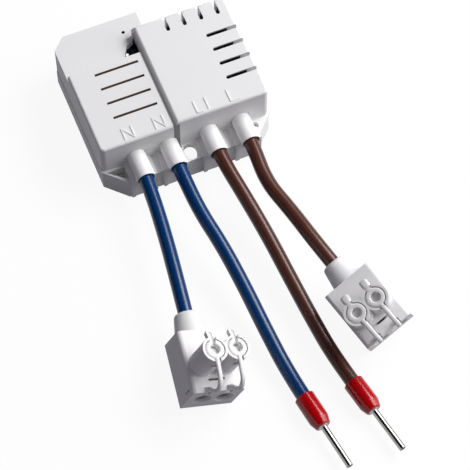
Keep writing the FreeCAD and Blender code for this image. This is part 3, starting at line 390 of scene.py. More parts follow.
def new_finish(name):
    """An empty material of a name."""
    return Finish(bpy.data.materials.new(name))


# Finishes

FLOW_SIZE = 9.0
GRAIN_SIZE = 0.22
GRAIN_DEPTH = 0.008
GRAIN_SPREAD = 0.08


def moulded_plastic(name, colour, shade, roughness, gloss=0.5, depth=GRAIN_DEPTH, spread=GRAIN_SPREAD):
    """Injection-moulded plastic: a faint flow of tone, and the fine grain of an eroded mould."""
    finish = new_finish(name)
    flow = finish.noise(FLOW_SIZE)
    grain = finish.noise(GRAIN_SIZE, detail=3.0)
    return finish.close(
        Base_Color=finish.tint(flow, colour, shade),
        Roughness=roughness - spread / 2 + grain * spread,
        Specular_IOR_Level=gloss,
        Normal=finish.relief(grain, depth),
    )


# Painted shade of the housing, down in its slots, louvres and pinhole and along the foot of the step: a row is its
# first place and step, a reach is a low and a high limit

STEP_FOOT_REACH = {"x": (-2.75, -1.35), "y": (-14.0, 13.0), "fade": (15.2, 16.1)}
STEP_FOOT_SHARE = 0.8
LOUVRE_ROWS = (-6.07, 3.94)
LOUVRE_HALF = 0.36
LOUVRE_REACH = {"x": (-14.25, -3.85), "y": (-7.0, 6.7), "z": (12.0, 15.2)}
SIDE_SLOT_ROWS = (-6.29, 3.95)
SIDE_SLOT_HALF = 0.64
SIDE_SLOT_REACH = {"x": (12.6, 17.55), "y": (-7.5, 6.6), "fade": (15.75, 16.26)}
BACK_SLOT_ROWS = (17.2, 4.0)
BACK_SLOT_HALF = 0.66
BACK_SLOT_REACH = {"x": (4.0, 18.5), "y": (10.25, 12.4), "fade": (15.9, 16.28)}
SLOT_HEIGHTS = (11.9, 16.28)
PINHOLE = (-3.84, 15.52)
PINHOLE_HALF = 0.5
PINHOLE_HEIGHTS = (11.0, 12.9)
STEP_FOOT_PAINTED_SHADE = (0.10, 0.09, 0.10)
LOUVRE_PAINTED_SHADE = (0.30, 0.18, 0.12)
SLOT_PAINTED_SHADE = (0.006, 0.006, 0.01)


def housing_plastic(name, colour, shade, roughness):
    """The housing's plastic: white outside, with painted shade down in its slots, louvres and pinhole and along the
    foot of the step.
    """
    finish = new_finish(name)
    flow = finish.noise(FLOW_SIZE)
    grain = finish.noise(GRAIN_SIZE, detail=3.0)
    x, y, z = finish.coordinates()
    white = finish.tint(flow, colour, shade)
    reach = STEP_FOOT_REACH
    # Painted shade: a band along the foot of the step between the two tops, fading upwards
    foot = x.within(*reach["x"]) * y.within(*reach["y"]) * (1.0 - z.climb(*reach["fade"]))
    white = finish.tint(foot * STEP_FOOT_SHARE, white, STEP_FOOT_PAINTED_SHADE)
    reach = LOUVRE_REACH
    # Painted shade, brown, on the walls of the louvre slots below the top
    louvres = y.near_row(*LOUVRE_ROWS, LOUVRE_HALF) * x.within(*reach["x"]) * y.within(*reach["y"])
    white = finish.tint(louvres * z.within(*reach["z"]), white, LOUVRE_PAINTED_SHADE)
    # Painted shade, near black, down in the side slots, the back slots and the pinhole
    reach = SIDE_SLOT_REACH
    side = y.near_row(*SIDE_SLOT_ROWS, SIDE_SLOT_HALF) * x.within(*reach["x"])
    side = side * (1.0 - z.climb(*reach["fade"])) * y.within(*reach["y"])
    reach = BACK_SLOT_REACH
    back = x.near_row(*BACK_SLOT_ROWS, BACK_SLOT_HALF) * y.within(*reach["y"])
    back = back * (1.0 - z.climb(*reach["fade"])) * x.within(*reach["x"])
    pinhole = z.within(*PINHOLE_HEIGHTS)
    for value, middle in zip((x, y), PINHOLE):
        pinhole = pinhole * value.within(middle - PINHOLE_HALF, middle + PINHOLE_HALF)
    painted_slot_shade = z.within(*SLOT_HEIGHTS) * (side + back) + pinhole
    return finish.close(
        Base_Color=finish.tint(painted_slot_shade, white, SLOT_PAINTED_SHADE),
        Roughness=roughness - GRAIN_SPREAD / 2 + grain * GRAIN_SPREAD,
        Specular_IOR_Level=0.2,
        Normal=finish.relief(grain, GRAIN_DEPTH),
    )


# Painted shade inside the wire entries: its reach across, up and inwards in the block's frame, its share and its
# colour
ENTRY_ACROSS = (-4.6, 4.6)
ENTRY_HEIGHTS = (2.2, 6.4)
ENTRY_FADE = (0.3, 1.5)
ENTRY_DEPTH = 9.0
ENTRY_SHARE = 0.9
ENTRY_PAINTED_SHADE = (0.03, 0.022, 0.026)
TERMINAL_WHITE = (0.83, 0.825, 0.82)
TERMINAL_SHADE = (0.80, 0.79, 0.785)


def entry_plastic(name, origin, axes):
    """A terminal block's plastic: white outside, with painted shade down in its wire entries."""
    finish = new_finish(name)
    grain = finish.noise(GRAIN_SIZE, detail=3.0)
    across, depth, height = (finish.distance_along(origin, axis) for axis in axes)
    white = finish.tint(finish.noise(FLOW_SIZE), TERMINAL_WHITE, TERMINAL_SHADE)
    # Painted shade inside each wire entry, growing from its mouth inwards
    painted_entry_shade = across.within(*ENTRY_ACROSS) * height.within(*ENTRY_HEIGHTS)
    painted_entry_shade = painted_entry_shade * depth.climb(*ENTRY_FADE) * (ENTRY_DEPTH - depth > 0.0)
    return finish.close(
        Base_Color=finish.tint(painted_entry_shade * ENTRY_SHARE, white, ENTRY_PAINTED_SHADE),
        Roughness=0.46 + grain * GRAIN_SPREAD,
        Specular_IOR_Level=0.25,
        Normal=finish.relief(grain, GRAIN_DEPTH),
    )


def insulation(name, colour, shade, roughness):
    """Extruded lead insulation: a soft skin with fine lengthwise drag marks and small dimples."""
    finish = new_finish(name)
    drag = finish.noise(0.7, detail=2.0, stretch=(1.0, 0.12, 1.0))
    dimples = finish.noise(0.45, detail=3.0)
    return finish.close(
        Base_Color=finish.tint(drag, colour, shade),
        Roughness=roughness + dimples * 0.05,
        Specular_IOR_Level=0.4,
        Normal=finish.relief(drag * 0.5 + dimples * 0.5, 0.002),
    )


def drawn_metal(name, colour, shade, roughness):
    """Bright metal with the fine lines that drawing and rolling leave."""
    finish = new_finish(name)
    lines = finish.noise(0.16, detail=2.0, stretch=(1.0, 0.08, 1.0))
    clouds = finish.noise(1.6)
    return finish.close(
        Base_Color=finish.tint(clouds, colour, shade),
        Metallic=1.0,
        Roughness=roughness + lines * 0.12,
        Normal=finish.relief(lines, 0.006),
    )


def circuit_board(name):
    """Dark blue solder resist over a faint pattern of tracks."""
    finish = new_finish(name)
    tracks = finish.noise(1.3, detail=0.0, stretch=(1.0, 0.25, 1.0)) > 0.55
    weave = finish.noise(0.3)
    return finish.close(
        Base_Color=finish.tint(tracks, (0.06, 0.055, 0.075), (0.12, 0.11, 0.14)),
        Roughness=0.35 + weave * 0.15,
        Normal=finish.relief(tracks, 0.03),
    )


def wound_wire(name):
    """Enamelled wire wound side by side."""
    finish = new_finish(name)
    turns = finish.add("ShaderNodeTexWave", {"Vector": finish.place(), "Scale": 330.0},
                       bands_direction="Y")
    return finish.close(
        Base_Color=finish.tint(turns, (0.28, 0.09, 0.02), (0.62, 0.25, 0.07)),
        Roughness=0.3 + turns * 0.1,
        Normal=finish.relief(turns, 0.1),
    )


def clear_plastic(name):
    """A moulded light guide that glows faintly: a painted glow, as it is no lamp."""
    finish = new_finish(name)
    ripple = finish.noise(0.5)
    return finish.close(
        Base_Color=finish.tint(ripple, (0.9, 0.92, 0.93), (0.97, 0.98, 0.98)),
        Roughness=0.05 + ripple * 0.05,
        Transmission_Weight=0.25,
        # Painted light: the faint emission lifts the guide out of the shade round it
        Emission_Color=(0.9, 0.92, 0.95, 1.0),
        Emission_Strength=0.4,
        IOR=1.5,
    )


FINISHES = {
    "white_housing": housing_plastic("housing_plastic", (0.85, 0.845, 0.84), (0.82, 0.815, 0.81), 0.52),
    # The sleeves' white is set brighter than the housing's: painted light, standing in for the light that falls on
    # their round tops
    "white_sleeve": moulded_plastic("sleeve_plastic", (0.92, 0.915, 0.91), (0.89, 0.885, 0.88), 0.36,
                                    gloss=0.35),
    "white_terminal": moulded_plastic("terminal_plastic", TERMINAL_WHITE, TERMINAL_SHADE, 0.45, gloss=0.3),
    "blue_insulation": insulation("blue_insulation_skin", (0.0, 0.038, 0.148), (0.0, 0.031, 0.125), 0.25),
    "brown_insulation": insulation("brown_insulation_skin", (0.102, 0.031, 0.020), (0.068, 0.020, 0.013),
                                   0.27),
    "red_collar": moulded_plastic("collar_plastic", (0.45, 0.001, 0.004), (0.41, 0.001, 0.004), 0.17,
                                  gloss=0.4, depth=0.0006, spread=0.02),
    "tinned_copper": drawn_metal("tinned_copper_skin", (0.40, 0.39, 0.38), (0.30, 0.29, 0.28), 0.16),
    "spring_steel": drawn_metal("spring_steel_skin", (0.6, 0.6, 0.6), (0.5, 0.5, 0.5), 0.2),
    "contact_metal": drawn_metal("contact_brass_skin", (0.76, 0.58, 0.28), (0.66, 0.5, 0.25), 0.2),
    "magnet_steel": drawn_metal("magnet_steel_skin", (0.5, 0.5, 0.5), (0.4, 0.4, 0.4), 0.3),
    "antenna_wire": drawn_metal("antenna_copper_skin", (0.72, 0.36, 0.2), (0.62, 0.3, 0.16), 0.25),
    "board": circuit_board("solder_resist"),
    "relay_plastic": moulded_plastic("relay_black_plastic", (0.02, 0.02, 0.025), (0.03, 0.03, 0.035), 0.4),
    "coil_wire": wound_wire("coil_enamel"),
    "capacitor_yellow": moulded_plastic("capacitor_shell", (0.7, 0.45, 0.05), (0.62, 0.4, 0.05), 0.4),
    "varistor_blue": moulded_plastic("varistor_lacquer", (0.02, 0.1, 0.4), (0.02, 0.08, 0.33), 0.35),
    "can_black": moulded_plastic("can_sleeve", (0.02, 0.02, 0.03), (0.03, 0.03, 0.04), 0.3),
    "plunger_plastic": moulded_plastic("plunger_shell", (0.75, 0.75, 0.75), (0.7, 0.7, 0.7), 0.4),
    "clear_plastic": clear_plastic("light_guide_plastic"),
    "led_body": moulded_plastic("led_shell", (0.8, 0.8, 0.68), (0.74, 0.74, 0.62), 0.25),
}


# Surfaces

def unit(vector):
    """A vector of length one."""
    vector = np.asarray(vector, float)
    return vector / np.linalg.norm(vector)


def rounded(corners, radii, closed=False, steps=6):
    """A line through corners where each corner gives way to an arc of its radius.

    An arc runs between its two tangent points: seen from its centre they are p and q, a turn t
    apart, and the point at share k is (sin((1 - k) t) p + sin(k t) q) / sin(t).
    """
    corners = np.asarray(corners, float)
    share = np.linspace(0.0, 1.0, steps + 1)[:, None]
    runs = []
    for index, (corner, radius) in enumerate(zip(corners, radii)):
        if radius == 0 or (not closed and index in (0, len(corners) - 1)):
            runs.append(corner[None])
            continue
        back = unit(corners[index - 1] - corner)
        onward = unit(corners[(index + 1) % len(corners)] - corner)
        half = math.acos(float(np.clip(back @ onward, -1.0, 1.0))) / 2
        turn = math.pi - 2 * half
        centre = corner + unit(back + onward) * radius / math.sin(half)
        first = corner + back * radius / math.tan(half) - centre
        last = corner + onward * radius / math.tan(half) - centre
        arc = (np.sin((1 - share) * turn) * first + np.sin(share * turn) * last) / math.sin(turn)
        runs.append(centre + arc)
    return np.concatenate(runs)


def turned(profile, centre, axis, segments=72):
    """A profile of (distance along the axis, radius) turned round the axis.

    The point at distance a, radius r and angle t is centre + a axis + r (cos t u + sin t v), where
    u and v are square to the axis.
    """
    profile = np.asarray(profile, float)
    axis = unit(axis)
    across = unit(np.cross(axis, (0.3, 0.2, 1.0)))
    other = np.cross(axis, across)
    angle = np.linspace(0.0, 2 * math.pi, segments, endpoint=False)
    ring = np.cos(angle)[:, None] * across + np.sin(angle)[:, None] * other
    return np.asarray(centre, float) + profile[:, None, :1] * axis + profile[:, None, 1:] * ring


def carried(path, section, across, sizes=None):
    """A closed section carried along a path, with its first axis kept on one direction.

    The point is path + size (x across + y normal), where the normal is square to the path and to
    the direction across.
    """
    path = np.asarray(path, float)
    section = np.asarray(section, float)
    across = unit(across)
    along = np.gradient(path, axis=0)
    normal = np.cross(along, across)
    normal /= np.linalg.norm(normal, axis=1)[:, None]
    sizes = np.ones(len(path)) if sizes is None else np.asarray(sizes, float)
    offsets = section[None, :, :1] * across + section[None, :, 1:] * normal[:, None, :]
    return path[:, None, :] + offsets * sizes[:, None, None]


def quads(rows, columns, looped):
    """The faces of a grid whose columns close on themselves, and its rows too if it is looped."""
    row = np.arange(rows if looped else rows - 1)[:, None]
    column = np.arange(columns)[None, :]
    next_row, next_column = (row + 1) % rows, (column + 1) % columns
    corners = [row * columns + column, next_row * columns + column,
               next_row * columns + next_column, row * columns + next_column]
    return np.stack(corners, axis=-1).reshape(-1, 4)


def closed_volume(points, faces):
    """Six times the volume that faces close: the sum of a . (b x c) over the fan of each face.

    It is above 0 where the faces look outwards.
    """
    fans = [(face[0], b, c) for face in faces for b, c in zip(face[1:], face[2:])]
    a, b, c = (points[list(corners)] for corners in zip(*fans))
    return float(np.einsum("ij,ij->", a, np.cross(b, c)))


def make_piece(name, shells, body, slot, replaced=(), sharp=38.0):
    """One piece out of grids of points in millimetres. A shell is (grid, looped).

    A shell that isn't looped is closed by a flat cap at each end.
    """
    points, faces, first = [], [], 0
    for grid, looped in shells:
        rows, columns = grid.shape[:2]
        flat = grid.reshape(-1, 3)
        shell = quads(rows, columns, looped).tolist()
        if not looped:
            shell += [list(range(columns)), list(range(rows * columns - 1, (rows - 1) * columns - 1, -1))]
        step = 1 if closed_volume(flat, shell) > 0 else -1
        faces += [[corner + first for corner in face[::step]] for face in shell]
        points.append(flat)
        first += len(flat)
    mesh = bpy.data.meshes.new(name)
    mesh.from_pydata((np.concatenate(points) * MM).tolist(), [], faces)
    mesh.polygons.foreach_set("use_smooth", np.ones(len(faces), bool))
    mesh.set_sharp_from_angle(angle=math.radians(sharp))
    mesh.materials.append(FINISHES[slot])
    mesh.validate()
    piece = bpy.data.objects.new(name, mesh)
    bpy.context.scene.collection.objects.link(piece)
    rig.ride(piece, body)
    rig.slot(piece, slot)
    if replaced:
        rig.replaces(piece, *replaced)
    return piece


# Cable sleeves

SLEEVE_RADIUS = 2.2
SLEEVE_ROOT_RADIUS = 2.1
SLEEVE_BORE = 1.75
SLEEVE_MOUTH_BORE = 1.98
SLEEVE_MOUTH_RUN = 1.4
SLEEVE_FLANGE_RADIUS = 2.9
SLEEVE_FLANGE = 0.8
SLEEVE_ROUNDS = (0.1, 0.1, 0.1, 0.1, 0.1, 0.08, 0.3)


def make_sleeve(number):
    """A smooth tube with a soft lip at its mouth and a flange behind the wall."""
    node = f"cable_sleeve_{number}"
    low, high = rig.box(node)
    centre = ((low.x + high.x) / 2 / MM, high.y / MM, (low.z + high.z) / 2 / MM)
    length = (high.y - low.y) / MM
    corners = [(0, SLEEVE_BORE), (0, SLEEVE_FLANGE_RADIUS), (SLEEVE_FLANGE, SLEEVE_FLANGE_RADIUS),
               (SLEEVE_FLANGE, SLEEVE_ROOT_RADIUS), (length, SLEEVE_RADIUS), (length, SLEEVE_MOUTH_BORE),
               (length - SLEEVE_MOUTH_RUN, SLEEVE_BORE)]
    profile = rounded(corners, SLEEVE_ROUNDS, closed=True)
    grid = turned(profile, centre, (0, -1, 0))
    return make_piece(f"{node}_tube", [(grid, True)], "module", "white_sleeve", (node,))


# Ferrules on the two inner leads

COLLAR_LENGTH = 7.8
COLLAR_RADIUS = 2.25
COLLAR_TIP_RADIUS = 1.66
COLLAR_SHOULDER = 1.9
COLLAR_BORE = 1.7
COLLAR_INSERT = 2.95
COLLAR_HOLE = 1.175
COLLAR_ROUNDS = (0.12, 0.15, 2.4, 0.45, 0.05, 0, 0)
PIN_FLARE = 0.2
PIN_INSIDE = 2.0
PIN_INSIDE_RADIUS = 1.15
PIN_HOLLOW = 0.62
PIN_RECESS = 0.35
PIN_ROUNDS = (0, 0.1, 0.1, 0.1, 0.06, 0.04, 0.04, 0)
AXIS_RADIUS = 0.05


def make_ferrule(side):
    """A red collar with a rounded shoulder, and the crimped tube of its pin."""
    mount = MOUNTS[f"ferrule_pin_{side}"]
    along = unit(mount["axis"])
    bare = mount["dims"]["length_mm"]
    radius = mount["dims"]["r_mm"]
    start = np.array(mount["pos_m"]) / MM - along * (COLLAR_LENGTH + PIN_FLARE + bare / 2)
    corners = [(0, COLLAR_BORE), (0, COLLAR_RADIUS), (COLLAR_LENGTH - COLLAR_SHOULDER, COLLAR_RADIUS),
               (COLLAR_LENGTH, COLLAR_TIP_RADIUS), (COLLAR_LENGTH, COLLAR_HOLE),
               (COLLAR_INSERT, COLLAR_HOLE), (COLLAR_INSERT, COLLAR_BORE)]
    profile = rounded(corners, COLLAR_ROUNDS, closed=True, steps=10)
    collar = make_piece(f"ferrule_collar_{side}_moulding", [(turned(profile, start, along), True)],
                        "module", "red_collar", (f"ferrule_collar_{side}",))
    end = COLLAR_LENGTH + PIN_FLARE + bare
    tube = [(COLLAR_LENGTH - PIN_INSIDE, AXIS_RADIUS), (COLLAR_LENGTH - PIN_INSIDE, PIN_INSIDE_RADIUS),
            (COLLAR_LENGTH, PIN_INSIDE_RADIUS), (COLLAR_LENGTH + PIN_FLARE, radius), (end, radius),
            (end, PIN_HOLLOW), (end - PIN_RECESS, PIN_HOLLOW), (end - PIN_RECESS * 0.7, AXIS_RADIUS)]
    profile = rounded(tube, PIN_ROUNDS)
    pin = make_piece(f"ferrule_pin_{side}_tube", [(turned(profile, start, along), False)],
                     "module", "tinned_copper", (f"ferrule_pin_{side}",))
    return {f"ferrule_collar_{side}": collar, f"ferrule_pin_{side}": pin}


# Terminal blocks, in their own frame: X across, Y from the front face to the neck, Z up

ENTRY_MIDDLE = (1.175, 4.3)
POLE_OFFSET = 2.55
BLOCK_LENGTH = 14.4
TOWER_PLACE = 6.35
TOWER_TOP = 16.7
RING_RADIUS = 2.12
RING_HOLE = 0.98
RING_THICK = 1.5
RING_ROUNDS = (0.1, 0.1, 0.42, 0.32)
RING_GAP = 17.0
STEM_RADIUS = 0.8
STEM_LOW = 5.5
STEM_HEAD = 1.05
STRAP_WIDTH = 1.0
STRAP_THICK = 0.9
STRAP_BENDS = {"left": (-3.0, 15.1), "right": (-2.1, 14.4)}
STRAP_FOOT = 0.45
STRAP_FOOT_HEAD = 9.6
STRAP_FOOT_LOW = 8.3
STRAP_ROUNDS = (0, 3.0, 2.6, 1.2, 0)
TAB_REACH = 4.6
TAB_DROP = 1.3
TAB_WIDTH = 1.46
TAB_THICK = 1.0
TAB_STEPS = 24
TAB_SWELLS = {"left": 0.1, "right": 0.32}
TAB_SWELL_RUN = 0.4
TAB_ENDS = {"left": 0.1, "right": 0.18}
TOWER_RADIUS = 2.8
TONGUE_LOW = 14.65
TONGUE_THICK = 0.4
TAB_GROOVE = [(-0.7, 0.5), (0.7, 0.5), (0.7, 0.0), (0.58, 0.0), (0.48, 0.25), (-0.26, 0.25),
              (-0.42, -0.5), (-0.7, -0.5)]
NECK_OFFSETS = {"left": -1.3, "right": 0.0}
NECK_LENGTH = 5.1
NECK_HEIGHT = 4.15
NECK_BASE_RADIUS = 3.55
NECK_END_RADIUS = 2.65
NECK_BORE = 1.75
NECK_ROUNDS = (0, 0, 0.8, 0.2)


def block_frame(side):
    """A block's axes and its front bottom middle, from its button's travel and its wire entries."""
    up = -unit(JOINTS[f"{side}_a_press"]["axis"])
    entries = [np.array(MOUNTS[f"wire_entry_{side}_{pole}"]["pos_m"]) / MM for pole in POLES]
    across = unit(entries[1] - entries[0])
    along = np.cross(up, across)
    middle = (entries[0] + entries[1]) / 2
    origin = middle - along * ENTRY_MIDDLE[0] - up * ENTRY_MIDDLE[1]
    return origin, np.array([across, along, up])


def placed(grid, side):
    """A block's grid of points set in the object's frame."""
    origin, axes = BLOCK_FRAMES[side]
    return origin + grid @ axes


BLOCK_FRAMES = {side: block_frame(side) for side in SIDES}


def bar_section(width, thick, radius):
    """A rectangle with rounded corners, as a closed section."""
    x, y = width / 2, thick / 2
    return rounded([(-x, -y), (x, -y), (x, y), (-x, y)], (radius,) * 4, closed=True, steps=5)


def fade(count, share):
    """Sizes that stay at one and close over the last share like a half round.

    The size at place p is the root of 1 - ((p - 1 + share) / share) squared.
    """
    place = np.linspace(0.0, 1.0, count)
    return np.sqrt(np.clip(1 - (np.clip(place - 1 + share, 0, None) / share) ** 2, 0.02, 1.0))


def open_ring(profile, centre):
    """A ring with a gap towards its tab: a profile of (height, radius) swept round most of a turn."""
    profile = np.asarray(profile, float)
    angle = np.radians(np.linspace(90 + RING_GAP, 450 - RING_GAP, 60))[:, None]
    x, y = centre[0] + np.cos(angle) * profile[:, 1], centre[1] + np.sin(angle) * profile[:, 1]
    return np.stack([x, y, np.broadcast_to(profile[:, 0], x.shape)], axis=-1)


def make_button(side, pole):
    """Ring, tab, strap and stem of one release button."""
    x = -POLE_OFFSET if pole == "a" else POLE_OFFSET
    low = TOWER_TOP - RING_THICK
    ring = rounded([(low, RING_HOLE), (low, RING_RADIUS), (TOWER_TOP, RING_RADIUS), (TOWER_TOP, RING_HOLE)],
                   RING_ROUNDS, closed=True, steps=8)
    stem = rounded([(STEM_LOW, AXIS_RADIUS), (STEM_LOW, STEM_RADIUS), (low - 0.6, STEM_RADIUS),
                    (low - 0.3, STEM_HEAD), (low + 0.15, STEM_HEAD), (low + 0.15, AXIS_RADIUS)],
                   (0, 0.2, 0, 0, 0, 0))
    centre = (x, TOWER_PLACE, 0)
    up = (0, 0, 1)
    grooved = side == "left"
    ring_shell = (open_ring(ring, centre), False) if grooved else (turned(ring, centre, up), True)
    level = TOWER_TOP - STRAP_THICK / 2
    strap_path = rounded([
        (x, TOWER_PLACE - RING_RADIUS + 0.5, level), (x, TOWER_PLACE - RING_RADIUS - 1.0, level - 0.1),
        (x, *STRAP_BENDS[side]), (x, STRAP_FOOT, STRAP_FOOT_HEAD), (x, STRAP_FOOT, STRAP_FOOT_LOW),
    ], STRAP_ROUNDS, steps=10)
    strap = carried(strap_path, bar_section(STRAP_WIDTH, STRAP_THICK, 0.36), (1, 0, 0))
    tab_start = TOWER_PLACE + (RING_HOLE if grooved else RING_RADIUS - 0.35)
    tab_end = TOWER_PLACE + TAB_REACH
    share = np.linspace(0.0, 1.0, TAB_STEPS)
    tab_path = np.stack([
        np.full(TAB_STEPS, x), tab_start + (tab_end - tab_start) * share,
        TOWER_TOP - 0.5 - TAB_DROP * share ** 1.4,
    ], axis=1)
    if grooved:
        tab_section = rounded(TAB_GROOVE, (0.06,) * len(TAB_GROOVE), closed=True)
    else:
        tab_section = bar_section(TAB_WIDTH, TAB_THICK, 0.45)
    clear = (tab_path[:, 1] - TOWER_PLACE - TOWER_RADIUS) / TAB_SWELL_RUN
    swell = TAB_SWELLS[side] * np.clip(clear, 0.0, 1.0)
    tab = carried(tab_path, tab_section, (1, 0, 0), (1 + swell) * fade(TAB_STEPS, TAB_ENDS[side]))
    tongue_path = [(x, TOWER_PLACE - TOWER_RADIUS + 0.3, height) for height in (TONGUE_LOW, low + 0.5)]
    tongue = carried(tongue_path, bar_section(TAB_WIDTH, TONGUE_THICK, 0.1), (1, 0, 0))
    shells = [
        (placed(ring_shell[0], side), ring_shell[1]), (placed(turned(stem, centre, up, 32), side), False),
        (placed(strap, side), False), (placed(tab, side), False), (placed(tongue, side), False),
    ]
    node = f"release_button_{side}_{pole}"
    return node, make_piece(f"{node}_moulding", shells, f"{side}_{pole}_button", "white_terminal", (node,))


def make_neck(side):
    """The tapered neck round the lead, with a soft lip."""
    start = BLOCK_LENGTH
    end = start + NECK_LENGTH
    corners = [(start, NECK_BORE), (start, NECK_BASE_RADIUS), (end, NECK_END_RADIUS), (end, NECK_BORE)]
    profile = rounded(corners, NECK_ROUNDS, closed=True)
    grid = placed(turned(profile, (NECK_OFFSETS[side], 0, NECK_HEIGHT), (0, 1, 0)), side)
    node = f"terminal_neck_{side}"
    return node, make_piece(f"{node}_moulding", [(grid, True)], "module", "white_terminal", (node,))


# Raised conductor marks on the two tops: the letters that stand for neutral and line

MARK_FRONT = -12.34
MARK_BACK = -9.24
MARK_WIDTH = 0.26
MARK_HEIGHT = 0.15
MARK_SINK = 0.05
MARK_LEVEL_STEP = 0.006
NEUTRAL_MARKS = ((-13.7, -11.5), (-6.45, -4.25))
LINE_MARKS = ((3.2, 4.75), (11.1, 13.26))
NUMBER_MARK = 5.9
LEFT_TOP = 15.3
RIGHT_TOP = 16.3


def mark_strokes():
    """Each stroke as its two ends and the level that it stands on."""
    front, back = MARK_FRONT, MARK_BACK
    strokes = []
    for left, right in NEUTRAL_MARKS:
        strokes += [((left, front), (left, back), LEFT_TOP), ((left, back), (right, front), LEFT_TOP),
                    ((right, front), (right, back), LEFT_TOP)]
    for left, right in LINE_MARKS:
        strokes += [((left, back), (left, front), RIGHT_TOP), ((left, front), (right, front), RIGHT_TOP)]
    strokes.append(((NUMBER_MARK, front), (NUMBER_MARK, back), RIGHT_TOP))
    return strokes


def make_marks():
    """Low raised bars with slanted sides. Levels differ a little, so that crossing tops don't coincide."""
    half = MARK_WIDTH / 2
    foot = half + MARK_HEIGHT * 0.6
    section = [(-foot, -MARK_SINK), (foot, -MARK_SINK), (half, MARK_HEIGHT), (-half, MARK_HEIGHT)]
    shells = []
    for number, (start, end, level) in enumerate(mark_strokes()):
        level += number % 3 * MARK_LEVEL_STEP
        path = np.array([(*start, level), (*end, level)])
        across = np.cross((0, 0, 1), path[1] - path[0])
        grid = carried(path, section, across)
        shells.append((grid, False))
    return make_piece("conductor_marks", shells, "module", "white_housing", sharp=20.0)


# Solids of the frame that keep their shape

WELD_GAP = 0.002
FLAT_ANGLE = math.radians(1.0)
EDGE_ANGLE = math.radians(35.0)
EDGE_WIDTHS = {
    "top_cover": 0.22,
    "base_shell": 0.18,
    "terminal_body_left": 0.18,
    "terminal_body_right": 0.18,
}


def soften(node, width, segments=3):
    """Break the sharp edges of a solid: weld its faces, merge flat ones, and bevel what is left."""
    piece = NODES[node]
    weld = piece.modifiers.new("weld", "WELD")
    weld.merge_threshold = WELD_GAP * MM
    flat = piece.modifiers.new("flat", "DECIMATE")
    flat.decimate_type = "DISSOLVE"
    flat.angle_limit = FLAT_ANGLE
    bevel = piece.modifiers.new("edges", "BEVEL")
    bevel.width = width * MM
    bevel.segments = segments
    bevel.limit_method = "ANGLE"
    bevel.angle_limit = EDGE_ANGLE
    bevel.harden_normals = True


def finish_solids():
    """Give every solid of the frame the finish of its slot."""
    entries = {
        f"terminal_body_{side}": entry_plastic(f"terminal_body_{side}_plastic", *BLOCK_FRAMES[side])
        for side in SIDES
    }
    for part in RECORD["subparts"]:
        mesh = NODES[part["node"]].data
        mesh.materials.clear()
        mesh.materials.append(entries.get(part["node"], FINISHES[part["material_slot"]]))


# Studio

FLOOR_SIZE = 3.0
SHADE = (0.155, 0.15, 0.175)
BOUNCE = (0.22, 0.215, 0.24)
FLOOR_SHADOW_SHARE = 0.08
CARD_DISTANCE = 0.5
CARDS = {
    "back_card": ((-0.38, 0.55, 0.74), 0.5),
    "front_card": ((-0.3, -0.32, 0.86), 0.33),
    "right_card": ((0.9, 0.45, 0.12), 0.17),
}
LAMP_AIM = Vector((0.0, -0.02, 0.0))
LAMPS = {
    "right_lamp": ((0.68, -0.03, 0.73), 0.78, (0.55, 0.45), 5.1),
    "strip_lamp": ((0.64, 0.3, 0.70), 0.8, (0.4, 0.2), 1.8),
    "fill_lamp": ((0.5, -0.14, 0.12), 0.55, (0.25, 0.25), 0.7),
}


def seen_directly(finish):
    """1 for what the camera sees, straight, in a reflection or through clear plastic, otherwise 0."""
    ray = "ShaderNodeLightPath"
    names = ("Is Camera Ray", "Is Glossy Ray", "Is Transmission Ray")
    camera, glossy, clear = (finish.add(ray, output=name) for name in names)
    return camera + glossy + clear > 0.5


def plain_sheet(name, centre, half, turn=None):
    """A square sheet round a centre, in the stage, not in the object."""
    turn = turn or Matrix.Identity(3)
    corners = [(-half, -half, 0), (half, -half, 0), (half, half, 0), (-half, half, 0)]
    mesh = bpy.data.meshes.new(name)
    points = [tuple(turn @ Vector(corner) + Vector(centre)) for corner in corners]
    mesh.from_pydata(points, [], [(0, 1, 2, 3)])
    sheet = bpy.data.objects.new(name, mesh)
    bpy.context.scene.collection.objects.link(sheet)
    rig.stage(sheet)
    return mesh


def make_floor():
    """A white floor with the object's faint shadow, which throws less light back up than it shows."""
    finish = new_finish("studio_floor")
    white = (1.0, 1.0, 1.0, 1.0)
    glow = finish.add("ShaderNodeEmission", {"Color": white, "Strength": 1.0})
    lit = finish.add("ShaderNodeBsdfDiffuse", {"Color": white})
    seen = finish.add("ShaderNodeMixShader", {0: FLOOR_SHADOW_SHARE, 1: glow, 2: lit})
    dim = finish.add("ShaderNodeBsdfDiffuse", {"Color": (*BOUNCE, 1.0)})
    shader = finish.add("ShaderNodeMixShader", {0: seen_directly(finish), 1: dim, 2: seen})
    finish.add("ShaderNodeOutputMaterial", {"Surface": shader})
    plain_sheet("studio_floor", (0, 0, 0), FLOOR_SIZE / 2).materials.append(finish.owner)


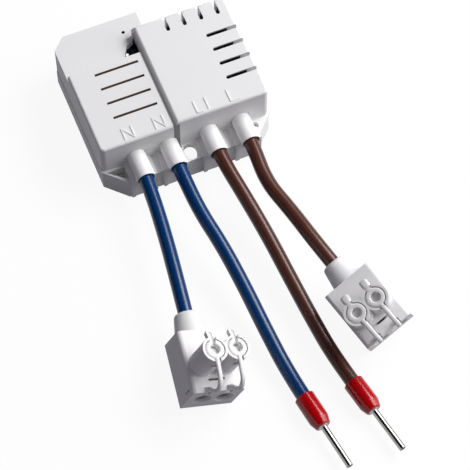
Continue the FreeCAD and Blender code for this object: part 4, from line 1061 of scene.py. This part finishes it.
def make_dark_cards():
    """Black cards round the object that only glossy surfaces show."""
    finish = new_finish("studio_card")
    clear = finish.add("ShaderNodeBsdfTransparent")
    black = finish.add("ShaderNodeBsdfDiffuse", {"Color": (0.0, 0.0, 0.0, 1.0)})
    glossy = finish.add("ShaderNodeLightPath", output="Is Glossy Ray")
    shader = finish.add("ShaderNodeMixShader", {0: glossy, 1: clear, 2: black})
    finish.add("ShaderNodeOutputMaterial", {"Surface": shader})
    for name, (direction, half) in CARDS.items():
        direction = Vector(direction).normalized()
        turn = direction.to_track_quat("Z", "Y").to_matrix()
        plain_sheet(name, direction * CARD_DISTANCE, half, turn).materials.append(finish.owner)


def make_world():
    """A white surround for the camera, and a dim cool one for everything that it lights."""
    world = bpy.data.worlds.new("studio")
    bpy.context.scene.world = world
    finish = Finish(world)
    colour = finish.tint(seen_directly(finish), SHADE, (1.0, 1.0, 1.0))
    shader = finish.add("ShaderNodeBackground", {"Color": colour, "Strength": 1.0})
    finish.add("ShaderNodeOutputWorld", {"Surface": shader})


def make_lamp(name, direction, distance, sizes, power):
    """A soft lamp that looks at the object, with its size along the floor and its size upwards."""
    data = bpy.data.lights.new(name, "AREA")
    data.shape = "RECTANGLE"
    data.size, data.size_y = sizes
    data.energy = power
    lamp = bpy.data.objects.new(name, data)
    direction = Vector(direction).normalized()
    place = direction * distance + LAMP_AIM
    lamp.matrix_world = Matrix.Translation(place) @ direction.to_track_quat("Z", "Y").to_matrix().to_4x4()
    bpy.context.scene.collection.objects.link(lamp)


def make_studio():
    """Floor, surround, cards and soft lamps: a large and a narrow one on the right, and a low fill."""
    make_floor()
    make_dark_cards()
    make_world()
    for name, (direction, distance, sizes, power) in LAMPS.items():
        make_lamp(name, direction, distance, sizes, power)


bpy.context.scene.view_settings.view_transform = "Standard"
make_camera()
finish_solids()
fittings = {}
for number in PLACES:
    make_sleeve(number)
for side in SIDES:
    fittings.update(make_ferrule(side))
    fittings.update([make_neck(side)])
    fittings.update(make_button(side, pole) for pole in POLES)
declare_leads({node: make_lead(node) for node in LEAD_ROUTES}, fittings)
make_marks()
for node, width in EDGE_WIDTHS.items():
    soften(node, width)
make_studio()

bpy.context.view_layer.update()
seen_low, seen_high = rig.bounds()
with open("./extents.json", "w") as sizes:
    json.dump({"cad": [list(cad_low), list(cad_high)], "visual": [list(seen_low), list(seen_high)]}, sizes)
